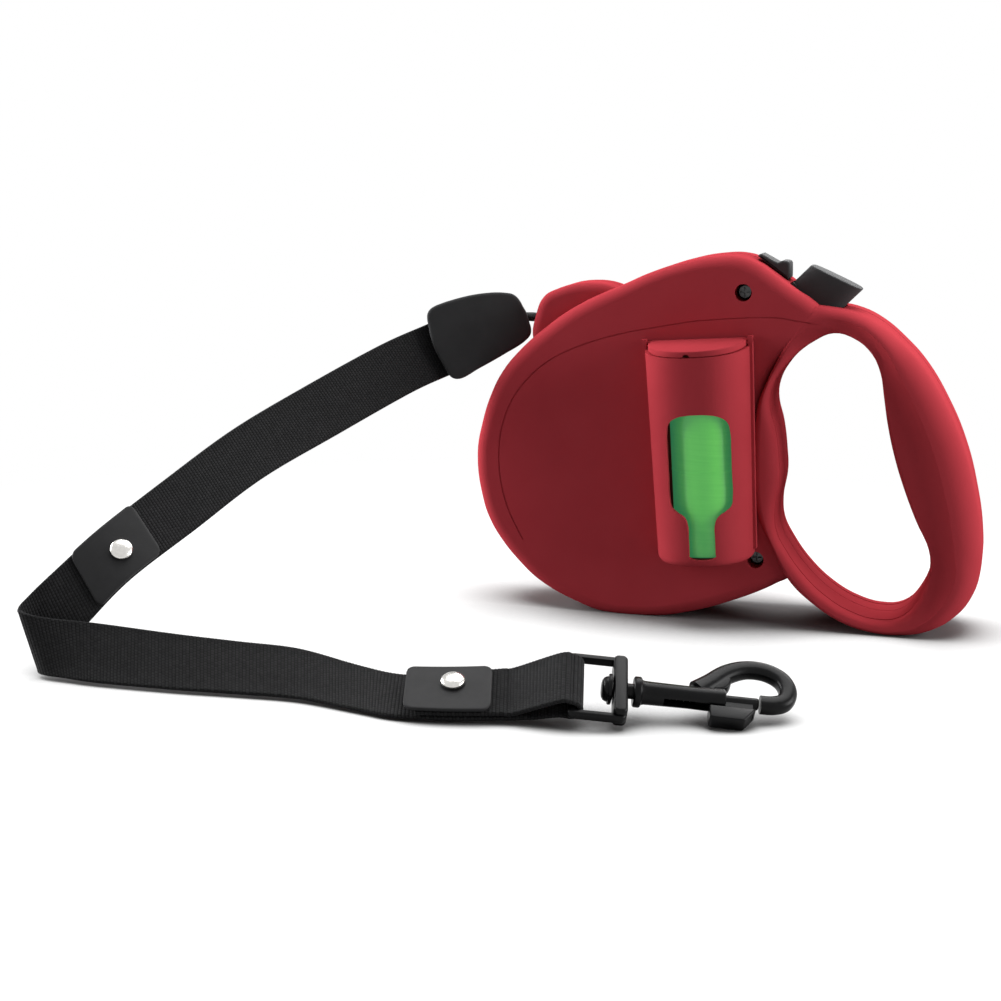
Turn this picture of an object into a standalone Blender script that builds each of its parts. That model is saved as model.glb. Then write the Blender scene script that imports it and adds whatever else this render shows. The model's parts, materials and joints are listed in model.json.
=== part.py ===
"""Retractable dog leash with a bag holder on the case.

World frame, metres: X runs from the lead (-) to the handle (+), Z is up and Y is the thickness,
with the bag holder on the -Y side. The origin is the middle of the flat on which the case stands.
"""
import math

import bmesh
import bpy
from mathutils import Matrix, Vector

MM = 0.001
GAP = 0.3 * MM                  # running clearance between separate pieces

# Case
CASE_HALF = 16.0 * MM           # half the thickness of the round case
HANDLE_HALF = 17.5 * MM         # half the depth of the handle band
NOZZLE_HALF = 9.5 * MM          # half the width of the nozzle
WALL = 2.5 * MM                 # front and back walls
CASE_RIM = 3.5 * MM             # rounding of the case rim
HANDLE_RIM = 4.0 * MM           # rounding of the handle band
HOLE_RIM = 2.2 * MM             # rounding of the finger hole
SEAM_Y = 2.0 * MM               # joint between the two shells
CASE_LINE = [(-12.9, -0.6), (0, -0.9), (17.3, 2.7), (29.1, 7), (36.6, 10.9), (41.5, 15.2), (38.5, 26),
             (35.6, 38), (36, 53), (34.6, 68), (37.5, 80), (43, 89), (48.2, 96.5), (49.6, 100.6),
             (46.8, 104.6), (40.5, 107.9), (31.5, 114.7), (26, 116.6), (18, 116), (8.5, 114), (-2, 110.3),
             (-9, 107), (-25.5, 99.8), (-36, 92), (-43, 84.1), (-49.2, 77.3), (-52.8, 70.6), (-56, 60.6),
             (-57.5, 50.5), (-55.2, 34), (-52.7, 27.5), (-48.5, 21), (-42.9, 14.7), (-35.7, 8.5), (-24, 2.7)]
HANDLE_LINE = [(42.6, 92.6), (39.8, 86), (36.6, 78.5), (33.3, 69), (32, 54), (33.6, 38.9), (39.8, 26.4),
               (45.7, 15.6), (53.3, 8.6), (62.9, 3), (71.5, 0.6), (80, 0.2), (90, 2.0), (97.5, 6.5),
               (102.3, 13), (104.6, 22), (104.4, 31), (101.6, 46), (97.3, 60), (91.4, 72.5), (84, 84),
               (77, 90.6), (68, 96.6), (58, 99.8), (51.5, 100.6), (46.2, 98.2)]
HOLE_LINE = [(44.8, 86.5), (40.5, 81.5), (37.6, 75.5), (37.2, 70), (39.4, 62), (40.8, 53), (41.3, 46.5),
             (40.2, 37), (41, 30), (44.3, 24), (50.6, 16), (57.8, 9.8), (66, 5.5), (74, 3.8), (81, 5.2),
             (86.4, 11.5), (89, 20), (88.8, 27), (84, 37), (80, 46.5), (76.8, 55.5), (74, 66), (72.3, 75),
             (70.8, 82.5), (67.5, 88.5), (62, 92.4), (56, 93.6), (50, 90.8)]
NOZZLE_LINE = [(-40.8, -6.6), (-40.0, 1.6), (-37.6, 7.3), (-33.9, 9.7), (-23.3, 12.4), (-13, 10.9),
               (-6, 6.3), (-8, -1.7), (-18, -7.7), (-30, -11.2), (-38, -11.1)]    # heights above the cord
CAVITY_LINE = [(0, 3), (20, 6.2), (31, 13.5), (33.5, 22), (32, 38), (32.6, 52), (31, 66), (35.5, 80.5),
               (44.6, 90.6), (49.6, 98.4), (39.5, 103.9), (31, 110.4), (24, 113.2), (10, 110.8), (-3, 106.3),
               (-20, 98.5), (-33, 89.3), (-44.5, 77), (-52.5, 62), (-54, 50), (-52, 36), (-45.5, 22.5),
               (-33, 10.5), (-15, 3.6)]
LIMB_LINE = [(80.5, 83.5), (87.5, 72), (93.3, 60), (97.8, 46), (100.9, 31), (100.6, 21), (97, 14.5),
             (92.8, 19), (92.3, 27), (87.5, 38.5), (83.3, 49), (79.8, 60), (77, 71), (76.2, 80)]
SCREWS = [("case_screw_upper", 28.0, 105.3), ("case_screw_lower", 35.3, 21.2)]
SCREW_HEAD_R = 2.4 * MM
SCREW_SHANK_R = 1.3 * MM
SCREW_HEAD_TOP = -11.0 * MM
SCREW_TIP = 11.0 * MM

# Reel, turning about a line parallel to Y
REEL_X, REEL_Z = -9.5 * MM, 55.5 * MM
AXLE_R = 3.0 * MM
FLANGE_R = 40.0 * MM
DRUM_R = 20.0 * MM
DRUM_WALL = 2.0 * MM
TOOTH_DISC = (-5.3 * MM, -3.3 * MM)
BACK_FLANGE = (8.7 * MM, 10.2 * MM)
TEETH = 24
TOOTH_FLOOR = FLANGE_R - 4.2 * MM
NOTCH_HALF = 2.5 * MM
CORD_R = 1.5 * MM
CORD_LAYER_R = 38.2 * MM
CORD_TURNS = 2
CORD_PITCH = 3.45 * MM
CORD_Z = REEL_Z + CORD_LAYER_R  # height at which the cord leaves the reel and the nozzle
REEL_ROOM = max(FLANGE_R, CORD_LAYER_R + CORD_R) + 0.6 * MM
NOZZLE_X = -40.2 * MM
SPRING_TURNS = 6
SPRING_STRIP = 0.5 * MM         # thickness of the mainspring's strip

# Brake button: a point on the case surface, the way it is pressed and the direction across that
BUTTON = Vector((50.0, 0.0, 104.6)) * MM
PRESS = Vector((-0.695, 0.0, -0.719))
ACROSS = Vector((0.719, 0.0, -0.695))
BRAKE_TRAVEL = 4.0 * MM
BUTTON_HALF_Y = 6.5 * MM
STEM_END = (Vector((REEL_X, 0.0, REEL_Z)) - BUTTON).dot(PRESS) - TOOTH_FLOOR - GAP - BRAKE_TRAVEL
LOCK_DIR = Vector((-0.809, 0.0, 0.588))
LOCK_TRAVEL = 4.5 * MM
PEG_U, PEG_W, PEG_R = 14.0 * MM, 1.0 * MM, 1.1 * MM

# Bag holder, on an axis that leans a little towards the lead
HOLDER = Vector((19.2 * MM, -CASE_HALF, 55.0 * MM))
HOLDER_UP = Vector((-0.08, 0.0, 0.9968))
HOLDER_SIDE = Vector((0.9968, 0.0, 0.08))
HOLDER_LOW, HOLDER_HIGH = -34.0 * MM, 33.5 * MM
HOLDER_HALF, HOLDER_FLARE = 15.1 * MM, 0.05
HOLDER_DEPTH = 17.0 * MM
HOLDER_WALL = 1.6 * MM
LID_THICK = 2.0 * MM
LID_SLOPE = math.radians(8.0)
ROLL_R = 11.0 * MM
ROLL_LOW, ROLL_HIGH = -30.0 * MM, 28.5 * MM
ROLL_Y = -20.0 * MM
ROLL_CORE_R = 4.0 * MM

# Lead: edge pairs of the strap (upper or back edge, lower or front edge), from the stop to the hook
STRAP_THICK = 1.3 * MM
STRAP_HALF = 9.25 * MM
STRAP_ROWS = [((-68.2, -2.5, 94.6), (-62.0, -2.5, 77.2)), ((-76.9, -9.0, 90.4), (-68.4, -9.0, 74.2)),
              ((-88.4, -22, 84.4), (-77.6, -22, 69.4)), ((-104.7, -47.3, 73.1), (-93.2, -48.7, 58.7)),
              ((-119.2, -70.7, 61.9), (-107.3, -75.3, 48.5)), ((-131.2, -94.6, 49.3), (-118.6, -99.4, 36.6)),
              ((-141.6, -115, 37.7), (-129.5, -121, 25.2)), ((-149.8, -127.6, 27.6), (-138.6, -131.6, 13.2)),
              ((-154.8, -133.6, 21.4), (-145.6, -136.4, 4.6)),
              ((-155.8, -137.4, 18.8), (-148.2, -139.8, 1.6)),
              ((-152.6, -138.6, 17.6), (-145.2, -142.4, 1.3)), ((-145.6, -136.4, 16.2), (-139, -143.2, 1.3)),
              ((-133.6, -132.8, 14.9), (-128.3, -144.1, 1.2)),
              ((-110.3, -130.4, 13.1), (-104.5, -143.3, 1.2)),
              ((-93.3, -127.7, 11.8), (-87.5, -141.6, 1.2)), ((-76, -126.3, 10.9), (-70.4, -140.8, 1.2)),
              ((-57.8, -129.2, 8.6), (-52.2, -145.2, 1.1)), ((-45.6, -131.0, 7.6), (-41.6, -147.8, 1.1)),
              ((-33.8, -129.8, 7.9), (-28.8, -146.2, 1.1)), ((-20, -126.6, 8.7), (-16, -142.8, 1.3)),
              ((-9.6, -124.4, 10.2), (-5.4, -140.4, 1.8))]
STRAP_STEPS = 4
TAIL_ROWS = (17.3, 19.6)        # rows, counted along STRAP_ROWS, over which the sewn tail lies
TAIL_LIFT = 1.7 * MM
PATCH_THICK = 0.9 * MM
UPPER_PATCH = (5.5, 6.6)
LOWER_PATCH = (17.25, 19.0)
UPPER_RIVET, UPPER_RIVET_UP = 5.92, -1.0 * MM
LOWER_RIVET, LOWER_RIVET_UP = 18.25, 2.0 * MM
RIVET_R = 3.3 * MM
STOP_NARROW = Vector((-44.4, 0.0, 93.6)) * MM
STOP_ALONG = Vector((-0.901, -0.29, -0.322))
STOP_ACROSS = Vector((-0.35, 0.0, 0.937))
STOP_HALF = 5.5 * MM
STOP_LINE = [(0, -4.2), (2, -7.0), (7, -9.2), (19, -11.5), (28.4, -12.0), (31.8, -9.8), (32.3, 0),
             (31.8, 10.2), (28.4, 12.5), (12, 11.3), (6, 10.1), (2.4, 7.4), (0.2, 3.6)]

# Snap hook on its own axis, which starts in the middle of the eye's bar
SWIVEL = Vector((16.4, -129.0, 8.4)) * MM
HOOK_ALONG = Vector((0.962, 0.258, -0.09))
HOOK_LEAN = math.radians(62.0)
EYE_LENGTH, EYE_WIDTH, EYE_THICK = 15.5 * MM, 23.0 * MM, 2.5 * MM
EYE_BAR = 3.4 * MM              # the bar through which the stud goes
EYE_BACK = 1.1 * MM             # how far that bar lies behind the swivel point
EYE_SIDE = 1.6 * MM             # the two side bars
STRAP_BAR = 2.0 * MM            # the bar round which the strap goes
STRAP_DROP = 0.35 * MM          # the strap lies this much below the middle of its bar
BOLT_R = 1.6 * MM
BOLT_TRAVEL = 10.0 * MM
BOLT_END = 35.7 * MM
HOOK_LOOP = [(19.5, 2.4), (23.0, 5.6), (27.5, 10.0), (32.8, 12.6), (38.2, 12.5), (42.4, 9.8), (43.9, 5.4),
             (42.6, 1.7), (39.6, 0.2), (36.1, 0)]


def clear_scene():
    for item in list(bpy.data.objects):
        bpy.data.objects.remove(item, do_unlink=True)
    for group in list(bpy.data.collections):
        bpy.data.collections.remove(group)


def material(name, colour, roughness, metallic=0.0):
    finish = bpy.data.materials.new(name)
    finish.use_nodes = True
    shader = finish.node_tree.nodes["Principled BSDF"]
    shader.inputs["Base Color"].default_value = (*colour, 1.0)
    shader.inputs["Roughness"].default_value = roughness
    shader.inputs["Metallic"].default_value = metallic
    return finish


def temporary(bm):
    mesh = bpy.data.meshes.new("temporary")
    bm.to_mesh(mesh)
    bm.free()
    item = bpy.data.objects.new("temporary", mesh)
    bpy.context.scene.collection.objects.link(item)
    return item


def discard(item):
    data = item.data
    bpy.data.objects.remove(item, do_unlink=True)
    if isinstance(data, bpy.types.Mesh):
        bpy.data.meshes.remove(data)
    else:
        bpy.data.curves.remove(data)


def evaluated(item):
    mesh = bpy.data.meshes.new_from_object(item.evaluated_get(bpy.context.evaluated_depsgraph_get()))
    bm = bmesh.new()
    bm.from_mesh(mesh)
    bpy.data.meshes.remove(mesh)
    return bm


def combine(body, tool, operation):
    first, second = temporary(body), temporary(tool)
    step = first.modifiers.new("step", "BOOLEAN")
    step.operation = operation
    step.solver = "EXACT"
    step.object = second
    bm = evaluated(first)
    discard(first)
    discard(second)
    bmesh.ops.remove_doubles(bm, verts=bm.verts, dist=1e-6)
    return bm


def cut(body, tool):
    return combine(body, tool, "DIFFERENCE")


def join(body, tool):
    return combine(body, tool, "UNION")


def outward(bm):
    """All faces turned to the outside."""
    bmesh.ops.recalc_face_normals(bm, faces=bm.faces)
    if bm.calc_volume(signed=True) < 0:
        bmesh.ops.reverse_faces(bm, faces=bm.faces)
    return bm


def finish(name, bm, look, origin=None):
    """A finished piece, with its origin on its joint axis where one is given."""
    outward(bm)
    if origin is not None:
        bmesh.ops.translate(bm, verts=bm.verts, vec=-origin)
    mesh = bpy.data.meshes.new(name)
    bm.to_mesh(mesh)
    bm.free()
    mesh.materials.append(look)
    item = bpy.data.objects.new(name, mesh)
    if origin is not None:
        item.location = origin
    bpy.data.collections["retractable_leash"].objects.link(item)
    return item


def smooth_outline(points, resolution=2):
    """Points along a closed smooth line through the given points, in millimetres."""
    data = bpy.data.curves.new("outline", "CURVE")
    data.dimensions = "2D"
    data.fill_mode = "NONE"
    data.resolution_u = resolution
    spline = data.splines.new("BEZIER")
    spline.bezier_points.add(len(points) - 1)
    for knot, (x, z) in zip(spline.bezier_points, points):
        knot.co = (x, z, 0.0)
        knot.handle_left_type = knot.handle_right_type = "AUTO"
    spline.use_cyclic_u = True
    item = bpy.data.objects.new("outline", data)
    bpy.context.scene.collection.objects.link(item)
    mesh = bpy.data.meshes.new_from_object(item.evaluated_get(bpy.context.evaluated_depsgraph_get()))
    line = [(vert.co.x * MM, vert.co.y * MM) for vert in mesh.vertices]
    bpy.data.meshes.remove(mesh)
    discard(item)
    return line


def in_metres(points):
    return [(x * MM, z * MM) for x, z in points]


def grown(line, amount):
    """The closed line moved outward by an amount, corner by corner."""
    area = sum(a[0] * b[1] - b[0] * a[1] for a, b in zip(line, line[1:] + line[:1]))
    turn = 1.0 if area > 0 else -1.0
    moved = []
    for before, here, after in zip(line[-1:] + line[:-1], line, line[1:] + line[:1]):
        first = Vector((here[1] - before[1], before[0] - here[0])).normalized() * turn
        second = Vector((after[1] - here[1], here[0] - after[0])).normalized() * turn
        middle = (first + second).normalized()
        reach = amount / max(0.5, middle.dot(first))
        moved.append((here[0] + middle.x * reach, here[1] + middle.y * reach))
    return moved


def prism(line, low, high, rim=0.0, steps=3):
    """A prism along Y over a closed XZ line. A positive rim rounds both ends, a negative one flares them."""
    radius = abs(rim)
    sign = -1.0 if rim > 0 else 1.0
    levels = [(low, 0.0), (high, 0.0)]
    if radius:
        arc = [math.pi / 2 * i / steps for i in range(steps + 1)]
        ends = [(radius * (1 - math.cos(a)), radius * (1 - math.sin(a))) for a in arc]
        levels = [(low + depth, sign * shift) for depth, shift in ends]
        levels += [(high - depth, sign * shift) for depth, shift in reversed(ends)]
        if rim < 0:
            levels = [(low - MM, radius)] + levels + [(high + MM, radius)]
    bm = bmesh.new()
    rings = [[bm.verts.new((x, y, z)) for x, z in grown(line, shift)] for y, shift in levels]
    for one, two in zip(rings, rings[1:]):
        for i in range(len(line)):
            j = (i + 1) % len(line)
            bm.faces.new((one[i], one[j], two[j], two[i]))
    bm.faces.new(rings[0])
    bm.faces.new(list(reversed(rings[-1])))
    return outward(bm)


def box(low, high):
    bm = bmesh.new()
    bmesh.ops.create_cube(bm, size=1.0)
    size = Vector(high) - Vector(low)
    bmesh.ops.scale(bm, verts=bm.verts, vec=size)
    bmesh.ops.translate(bm, verts=bm.verts, vec=(Vector(high) + Vector(low)) / 2)
    return bm


def aligned(origin, x_axis, y_axis):
    """Matrix that carries local X and Y onto two directions at a point."""
    first = x_axis.normalized()
    third = first.cross(y_axis).normalized()
    second = third.cross(first)
    turn = Matrix((first, second, third)).transposed()
    return Matrix.Translation(origin) @ turn.to_4x4()


def rod(start, end, radius, sides=32):
    along = end - start
    bm = bmesh.new()
    bmesh.ops.create_cone(bm, cap_ends=True, segments=sides, radius1=radius, radius2=radius,
                          depth=along.length)
    turn = Vector((0, 0, 1)).rotation_difference(along).to_matrix().to_4x4()
    bmesh.ops.transform(bm, verts=bm.verts, matrix=Matrix.Translation((start + end) / 2) @ turn)
    return bm


def rod_y(x, z, low, high, radius, sides=32):
    return rod(Vector((x, low, z)), Vector((x, high, z)), radius, sides)


def turned(profile, steps, place):
    """A closed (radius, height) profile turned about local Z, then placed."""
    bm = bmesh.new()
    verts = [bm.verts.new((radius, 0.0, height)) for radius, height in profile]
    pairs = zip(verts, verts[1:] + verts[:1])
    edges = [bm.edges.new(pair) for pair in pairs if pair[0].co.x or pair[1].co.x]
    bmesh.ops.spin(bm, geom=verts + edges, cent=(0, 0, 0), axis=(0, 0, 1), angle=2 * math.pi, steps=steps,
                   use_merge=True)
    bmesh.ops.remove_doubles(bm, verts=bm.verts, dist=1e-7)
    bmesh.ops.dissolve_degenerate(bm, edges=bm.edges, dist=1e-7)
    bmesh.ops.transform(bm, verts=bm.verts, matrix=place)
    return outward(bm)


def on_reel(angle=0.0):
    """Local Z becomes world Y along the reel axis."""
    place = Matrix.Translation((REEL_X, 0, REEL_Z)) @ Matrix.Rotation(-math.pi / 2, 4, "X")
    return place @ Matrix.Rotation(angle, 4, "Z")


def tube(points, radius, resolution=2, weights=None):
    """A round wire through the given points, as a closed mesh."""
    data = bpy.data.curves.new("wire", "CURVE")
    data.dimensions = "3D"
    data.bevel_depth = radius
    data.bevel_resolution = resolution
    data.use_fill_caps = True
    spline = data.splines.new("POLY")
    spline.points.add(len(points) - 1)
    for i, (knot, point) in enumerate(zip(spline.points, points)):
        knot.co = (*point, 1.0)
        knot.radius = weights[i] if weights else 1.0
    item = bpy.data.objects.new("wire", data)
    bpy.context.scene.collection.objects.link(item)
    bm = evaluated(item)
    discard(item)
    bmesh.ops.remove_doubles(bm, verts=bm.verts, dist=1e-6)
    return outward(bm)


def coil(start, end, radius, wire, turns, per_turn=10):
    along = end - start
    place = aligned(start, along, Vector((0.1, 1.0, 0.3)))
    count = int(turns * per_turn)
    points = []
    for i in range(count + 1):
        angle = 2 * math.pi * i / per_turn
        height = wire + (along.length - 2 * wire) * i / count
        points.append(place @ Vector((height, radius * math.cos(angle), radius * math.sin(angle))))
    rise = (along.length - 2 * wire) / turns
    print("least self-gap of a coil, mm:", round((rise - 2 * wire) / MM, 2))
    return tube(points, wire, 1)


def button_point(u, w, y=0.0):
    return BUTTON + PRESS * u + ACROSS * w + Vector((0, y, 0))


def button_line(points):
    """XZ line from (depth, across) pairs in metres."""
    line = [button_point(u, w) for u, w in points]
    return [(p.x, p.z) for p in line]


def button_outline(clear=0.0, sink=0.0):
    tilt = 0.37
    half = 8.3 * MM + clear
    top, low = -8.4 * MM - sink, 3.0 * MM + sink + clear
    return button_line([(top - tilt * -half, -half), (top - tilt * half, half), (low - tilt * half, half),
                        (low - tilt * -half, -half)])


def lock_slot():
    return in_metres([(39.6, 112.6), (42.8, 101), (34.0, 100), (30.2, 116.7)])


def holder_point(side, depth, up):
    """Point on the bag holder: sideways, out from the case face, and up its axis."""
    return HOLDER + HOLDER_SIDE * side + Vector((0, -depth, 0)) + HOLDER_UP * up


def half_tube(grow, low, high, back):
    """The half-round body of the bag holder, as a solid between two heights."""
    bm = bmesh.new()
    rings = []
    for up in (low, high):
        half = HOLDER_HALF + HOLDER_FLARE * up + grow
        depth = HOLDER_DEPTH + grow
        ring = [holder_point(half, back, up)]
        for i in range(25):
            angle = math.pi * i / 24
            side = math.copysign(abs(math.cos(angle)) ** 0.85, math.cos(angle))
            ring.append(holder_point(half * side, max(back + 0.2 * MM, depth * math.sin(angle) ** 0.85), up))
        ring.append(holder_point(-half, back, up))
        rings.append([bm.verts.new(p) for p in ring])
    for i in range(len(rings[0])):
        j = (i + 1) % len(rings[0])
        bm.faces.new((rings[0][i], rings[0][j], rings[1][j], rings[1][i]))
    bm.faces.new(rings[0])
    bm.faces.new(list(reversed(rings[1])))
    bmesh.ops.remove_doubles(bm, verts=bm.verts, dist=1e-6)
    return outward(bm)


def holder_prism(points, low, high):
    """Prism along Y over a (sideways, up) line on the bag holder, in millimetres."""
    line = [holder_point(side * MM, 0, up * MM) for side, up in points]
    return prism([(p.x, p.z) for p in line], low, high)


def lid_axis():
    """Middle of the lid's hinge line."""
    return holder_point(0, 1.7 * MM, HOLDER_HIGH + 1.5 * MM)


def lid_turn():
    to_axis = Matrix.Translation(lid_axis())
    return to_axis @ Matrix.Rotation(LID_SLOPE, 4, HOLDER_SIDE) @ to_axis.inverted()


def hook_frame():
    along = HOOK_ALONG.normalized()
    back = Vector((-along.y, along.x, 0)).normalized()
    upright = along.cross(back).normalized()
    lean = back * math.sin(HOOK_LEAN) + upright * math.cos(HOOK_LEAN)
    return aligned(SWIVEL, along, lean)


def on_hook(x, y, z):
    return hook_frame() @ Vector((x * MM, y * MM, z * MM))


def hook_box(low, high):
    bm = box(Vector(low) * MM, Vector(high) * MM)
    bmesh.ops.transform(bm, verts=bm.verts, matrix=hook_frame())
    return bm


def hook_turned(profile, steps=20):
    """A (radius, along) profile in millimetres, turned about the hook's axis."""
    to_x = Matrix.Rotation(math.pi / 2, 4, "Y")
    return turned([(radius * MM, along * MM) for radius, along in profile], steps, hook_frame() @ to_x)


def spline_rows():
    """Edge pairs along the whole strap, smoothed, with the row number of each."""
    rows = [(Vector(a) * MM, Vector(b) * MM) for a, b in STRAP_ROWS]
    dense, numbers = [], []
    for i in range(len(rows) - 1):
        four = [rows[max(0, i - 1)], rows[i], rows[i + 1], rows[min(len(rows) - 1, i + 2)]]
        for k in range(STRAP_STEPS):
            t = k / STRAP_STEPS
            pair = []
            for edge in (0, 1):
                p0, p1, p2, p3 = (row[edge] for row in four)
                pair.append(0.5 * (2 * p1 + (p2 - p0) * t + (2 * p0 - 5 * p1 + 4 * p2 - p3) * t ** 2
                                   + (3 * p1 - p0 - 3 * p2 + p3) * t ** 3))
            dense.append(tuple(pair))
            numbers.append(i + t)
    dense.append(rows[-1])
    numbers.append(float(len(rows) - 1))
    return dense, numbers


def row_frames(rows):
    """Middle, half-width vector and normal of each row."""
    middles = [(a + b) / 2 for a, b in rows]
    frames = []
    for i, (a, b) in enumerate(rows):
        along = middles[min(i + 1, len(rows) - 1)] - middles[max(i - 1, 0)]
        frames.append((middles[i], (a - b) / 2, (a - b).cross(along).normalized()))
    return frames


def ribbon(rows, thick, lift=0.0, narrow=1.0):
    bm = bmesh.new()
    rings = []
    for middle, half, normal in row_frames(rows):
        low, high = normal * (lift - thick / 2), normal * (lift + thick / 2)
        ring = [middle + half * narrow + high, middle - half * narrow + high,
                middle - half * narrow + low, middle + half * narrow + low]
        rings.append([bm.verts.new(p) for p in ring])
    for one, two in zip(rings, rings[1:]):
        for i in range(4):
            j = (i + 1) % 4
            bm.faces.new((one[i], one[j], two[j], two[i]))
    bm.faces.new(rings[0])
    bm.faces.new(list(reversed(rings[-1])))
    bmesh.ops.triangulate(bm, faces=bm.faces)
    return outward(bm)


def eye_rows():
    """Rows of the strap round the eye's bar: behind it, through the eye and back in front."""
    place = hook_frame()
    along, across, normal = (place.to_3x3().col[i].copy() for i in range(3))
    bar = place @ Vector(((EYE_BAR + STRAP_BAR) / 2 - EYE_BACK - EYE_LENGTH, -STRAP_DROP, 0))
    reach = math.hypot(STRAP_BAR, EYE_THICK) / 2 + 1.3 * GAP + STRAP_THICK / 2
    rows = []
    for i in range(9):
        angle = math.pi * i / 8
        middle = bar - normal * (reach * math.cos(angle)) + along * (reach * math.sin(angle))
        rows.append((middle + across * STRAP_HALF, middle - across * STRAP_HALF))
    lead_in = -along * 3.2 * MM
    first, last = (tuple(edge + lead_in for edge in row) for row in (rows[0], rows[-1]))
    return [first] + rows + [last]


def strap_rows():
    dense, numbers = spline_rows()
    tail = []
    for (middle, half, normal), number in zip(row_frames(dense), numbers):
        if TAIL_ROWS[0] <= number <= TAIL_ROWS[1]:
            middle = middle - normal * TAIL_LIFT
            tail.append((middle + half, middle - half))
    return dense + eye_rows() + list(reversed(tail))


def part_rows(span):
    dense, numbers = spline_rows()
    return [row for row, number in zip(dense, numbers) if span[0] <= number <= span[1]]


def rivet_place(number, up, side):
    """Matrix of a rivet: local Z points out of the patch's face."""
    frames = row_frames(spline_rows()[0])
    index = int(number * STRAP_STEPS)
    middle, half, normal = frames[index]
    middle = middle.lerp(frames[index + 1][0], number * STRAP_STEPS - index)
    sideways = half.normalized()
    return aligned(middle + sideways * up, sideways, (normal * side).cross(sideways))


def case_body():
    body = prism(smooth_outline(CASE_LINE), -CASE_HALF, CASE_HALF, CASE_RIM)
    nozzle = [(x, CORD_Z + height) for x, height in smooth_outline(NOZZLE_LINE)]
    body = join(body, prism(nozzle, -NOZZLE_HALF, NOZZLE_HALF, 3 * MM))
    body = join(body, prism(smooth_outline(HANDLE_LINE), -HANDLE_HALF, HANDLE_HALF, HANDLE_RIM))
    reach = HANDLE_HALF + 0.15 * MM
    body = cut(body, prism(smooth_outline(HOLE_LINE), -reach, reach, -HOLE_RIM, 2))
    body = cut(body, box((-0.1, -0.1, -0.1), (0.2, 0.1, 0.0)))
    inner = CASE_HALF - WALL
    body = cut(body, prism(smooth_outline(CAVITY_LINE), -inner, inner))
    body = cut(body, rod_y(REEL_X, REEL_Z, -inner, inner, REEL_ROOM, 64))
    body = cut(body, prism(smooth_outline(LIMB_LINE), -inner, inner))
    body = join_bosses(body, inner)
    return cut_openings(body, inner)


def join_bosses(body, inner):
    overlap = 1.0 * MM
    low, high = holder_point(0, 0, ROLL_LOW - 3 * MM), holder_point(0, 0, HOLDER_HIGH + 2 * MM)
    pocket = rod(low, high, ROLL_R + 2.4 * MM)
    bmesh.ops.translate(pocket, verts=pocket.verts, vec=(0, ROLL_Y - HOLDER.y, 0))
    pocket = combine(pocket, box((-0.1, -inner - overlap, -0.1), (0.1, 0.1, 0.2)), "INTERSECT")
    body = join(body, pocket)
    body = join(body, rod_y(REEL_X, REEL_Z, -inner - overlap, TOOTH_DISC[0] - GAP, AXLE_R + 2.5 * MM))
    body = join(body, rod_y(REEL_X, REEL_Z, BACK_FLANGE[1] + GAP, inner + overlap, AXLE_R + 2.5 * MM))
    for _, x, z in SCREWS:
        body = join(body, rod_y(x * MM, z * MM, -inner - overlap, inner + overlap, 4.0 * MM, 28))
    seat = [(13 * MM, -3.5 * MM), (13 * MM, 3.5 * MM), (16 * MM, 3.5 * MM), (16 * MM, -3.5 * MM)]
    return join(body, prism(button_line(seat), SEAM_Y, inner + overlap))


def cut_openings(body, inner):
    pocket = rod(holder_point(0, 0, ROLL_LOW - GAP), holder_point(0, 0, HOLDER_HIGH), ROLL_R + 2 * GAP)
    bmesh.ops.translate(pocket, verts=pocket.verts, vec=(0, ROLL_Y - HOLDER.y, 0))
    body = cut(body, pocket)
    seat = []
    for sign, up in ((-1, HOLDER_LOW - GAP), (1, HOLDER_LOW - GAP), (1, HOLDER_HIGH), (-1, HOLDER_HIGH)):
        side = sign * (HOLDER_HALF + HOLDER_FLARE * up + 0.4 * MM)
        seat.append((side / MM, up / MM))
    body = cut(body, holder_prism(seat, -0.03, -CASE_HALF - 0.05 * MM))
    body = cut(body, rod_y(REEL_X, REEL_Z, -inner, inner, AXLE_R + 0.2 * MM))
    for _, x, z in SCREWS:
        x, z = x * MM, z * MM
        body = cut(body, rod_y(x, z, -0.03, SCREW_HEAD_TOP + 2 * MM, SCREW_HEAD_R + GAP))
        body = cut(body, rod_y(x, z, -0.03, SCREW_TIP + GAP, SCREW_SHANK_R + GAP))
    outside = Vector((-0.06, 0, CORD_Z))
    body = cut(body, rod(outside, Vector((-0.02, 0, CORD_Z)), CORD_R + 0.9 * MM))
    body = cut(body, rod(outside, Vector((NOZZLE_X + 4.3 * MM, 0, CORD_Z)), 3.9 * MM))
    well = BUTTON_HALF_Y + 0.35 * MM
    body = cut(body, prism(button_outline(0.35 * MM, BRAKE_TRAVEL), -well, well))
    return cut(body, prism(lock_slot(), -3.3 * MM, -0.5 * MM))


def build_case(red):
    body = case_body()
    copy = body.copy()
    low, high = SEAM_Y - GAP / 2, SEAM_Y + GAP / 2
    finish("case_front", cut(body, box((-0.2, low, -0.2), (0.3, 0.1, 0.3))), red)
    finish("case_back", cut(copy, box((-0.2, -0.1, -0.2), (0.3, high, 0.3))), red)


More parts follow.
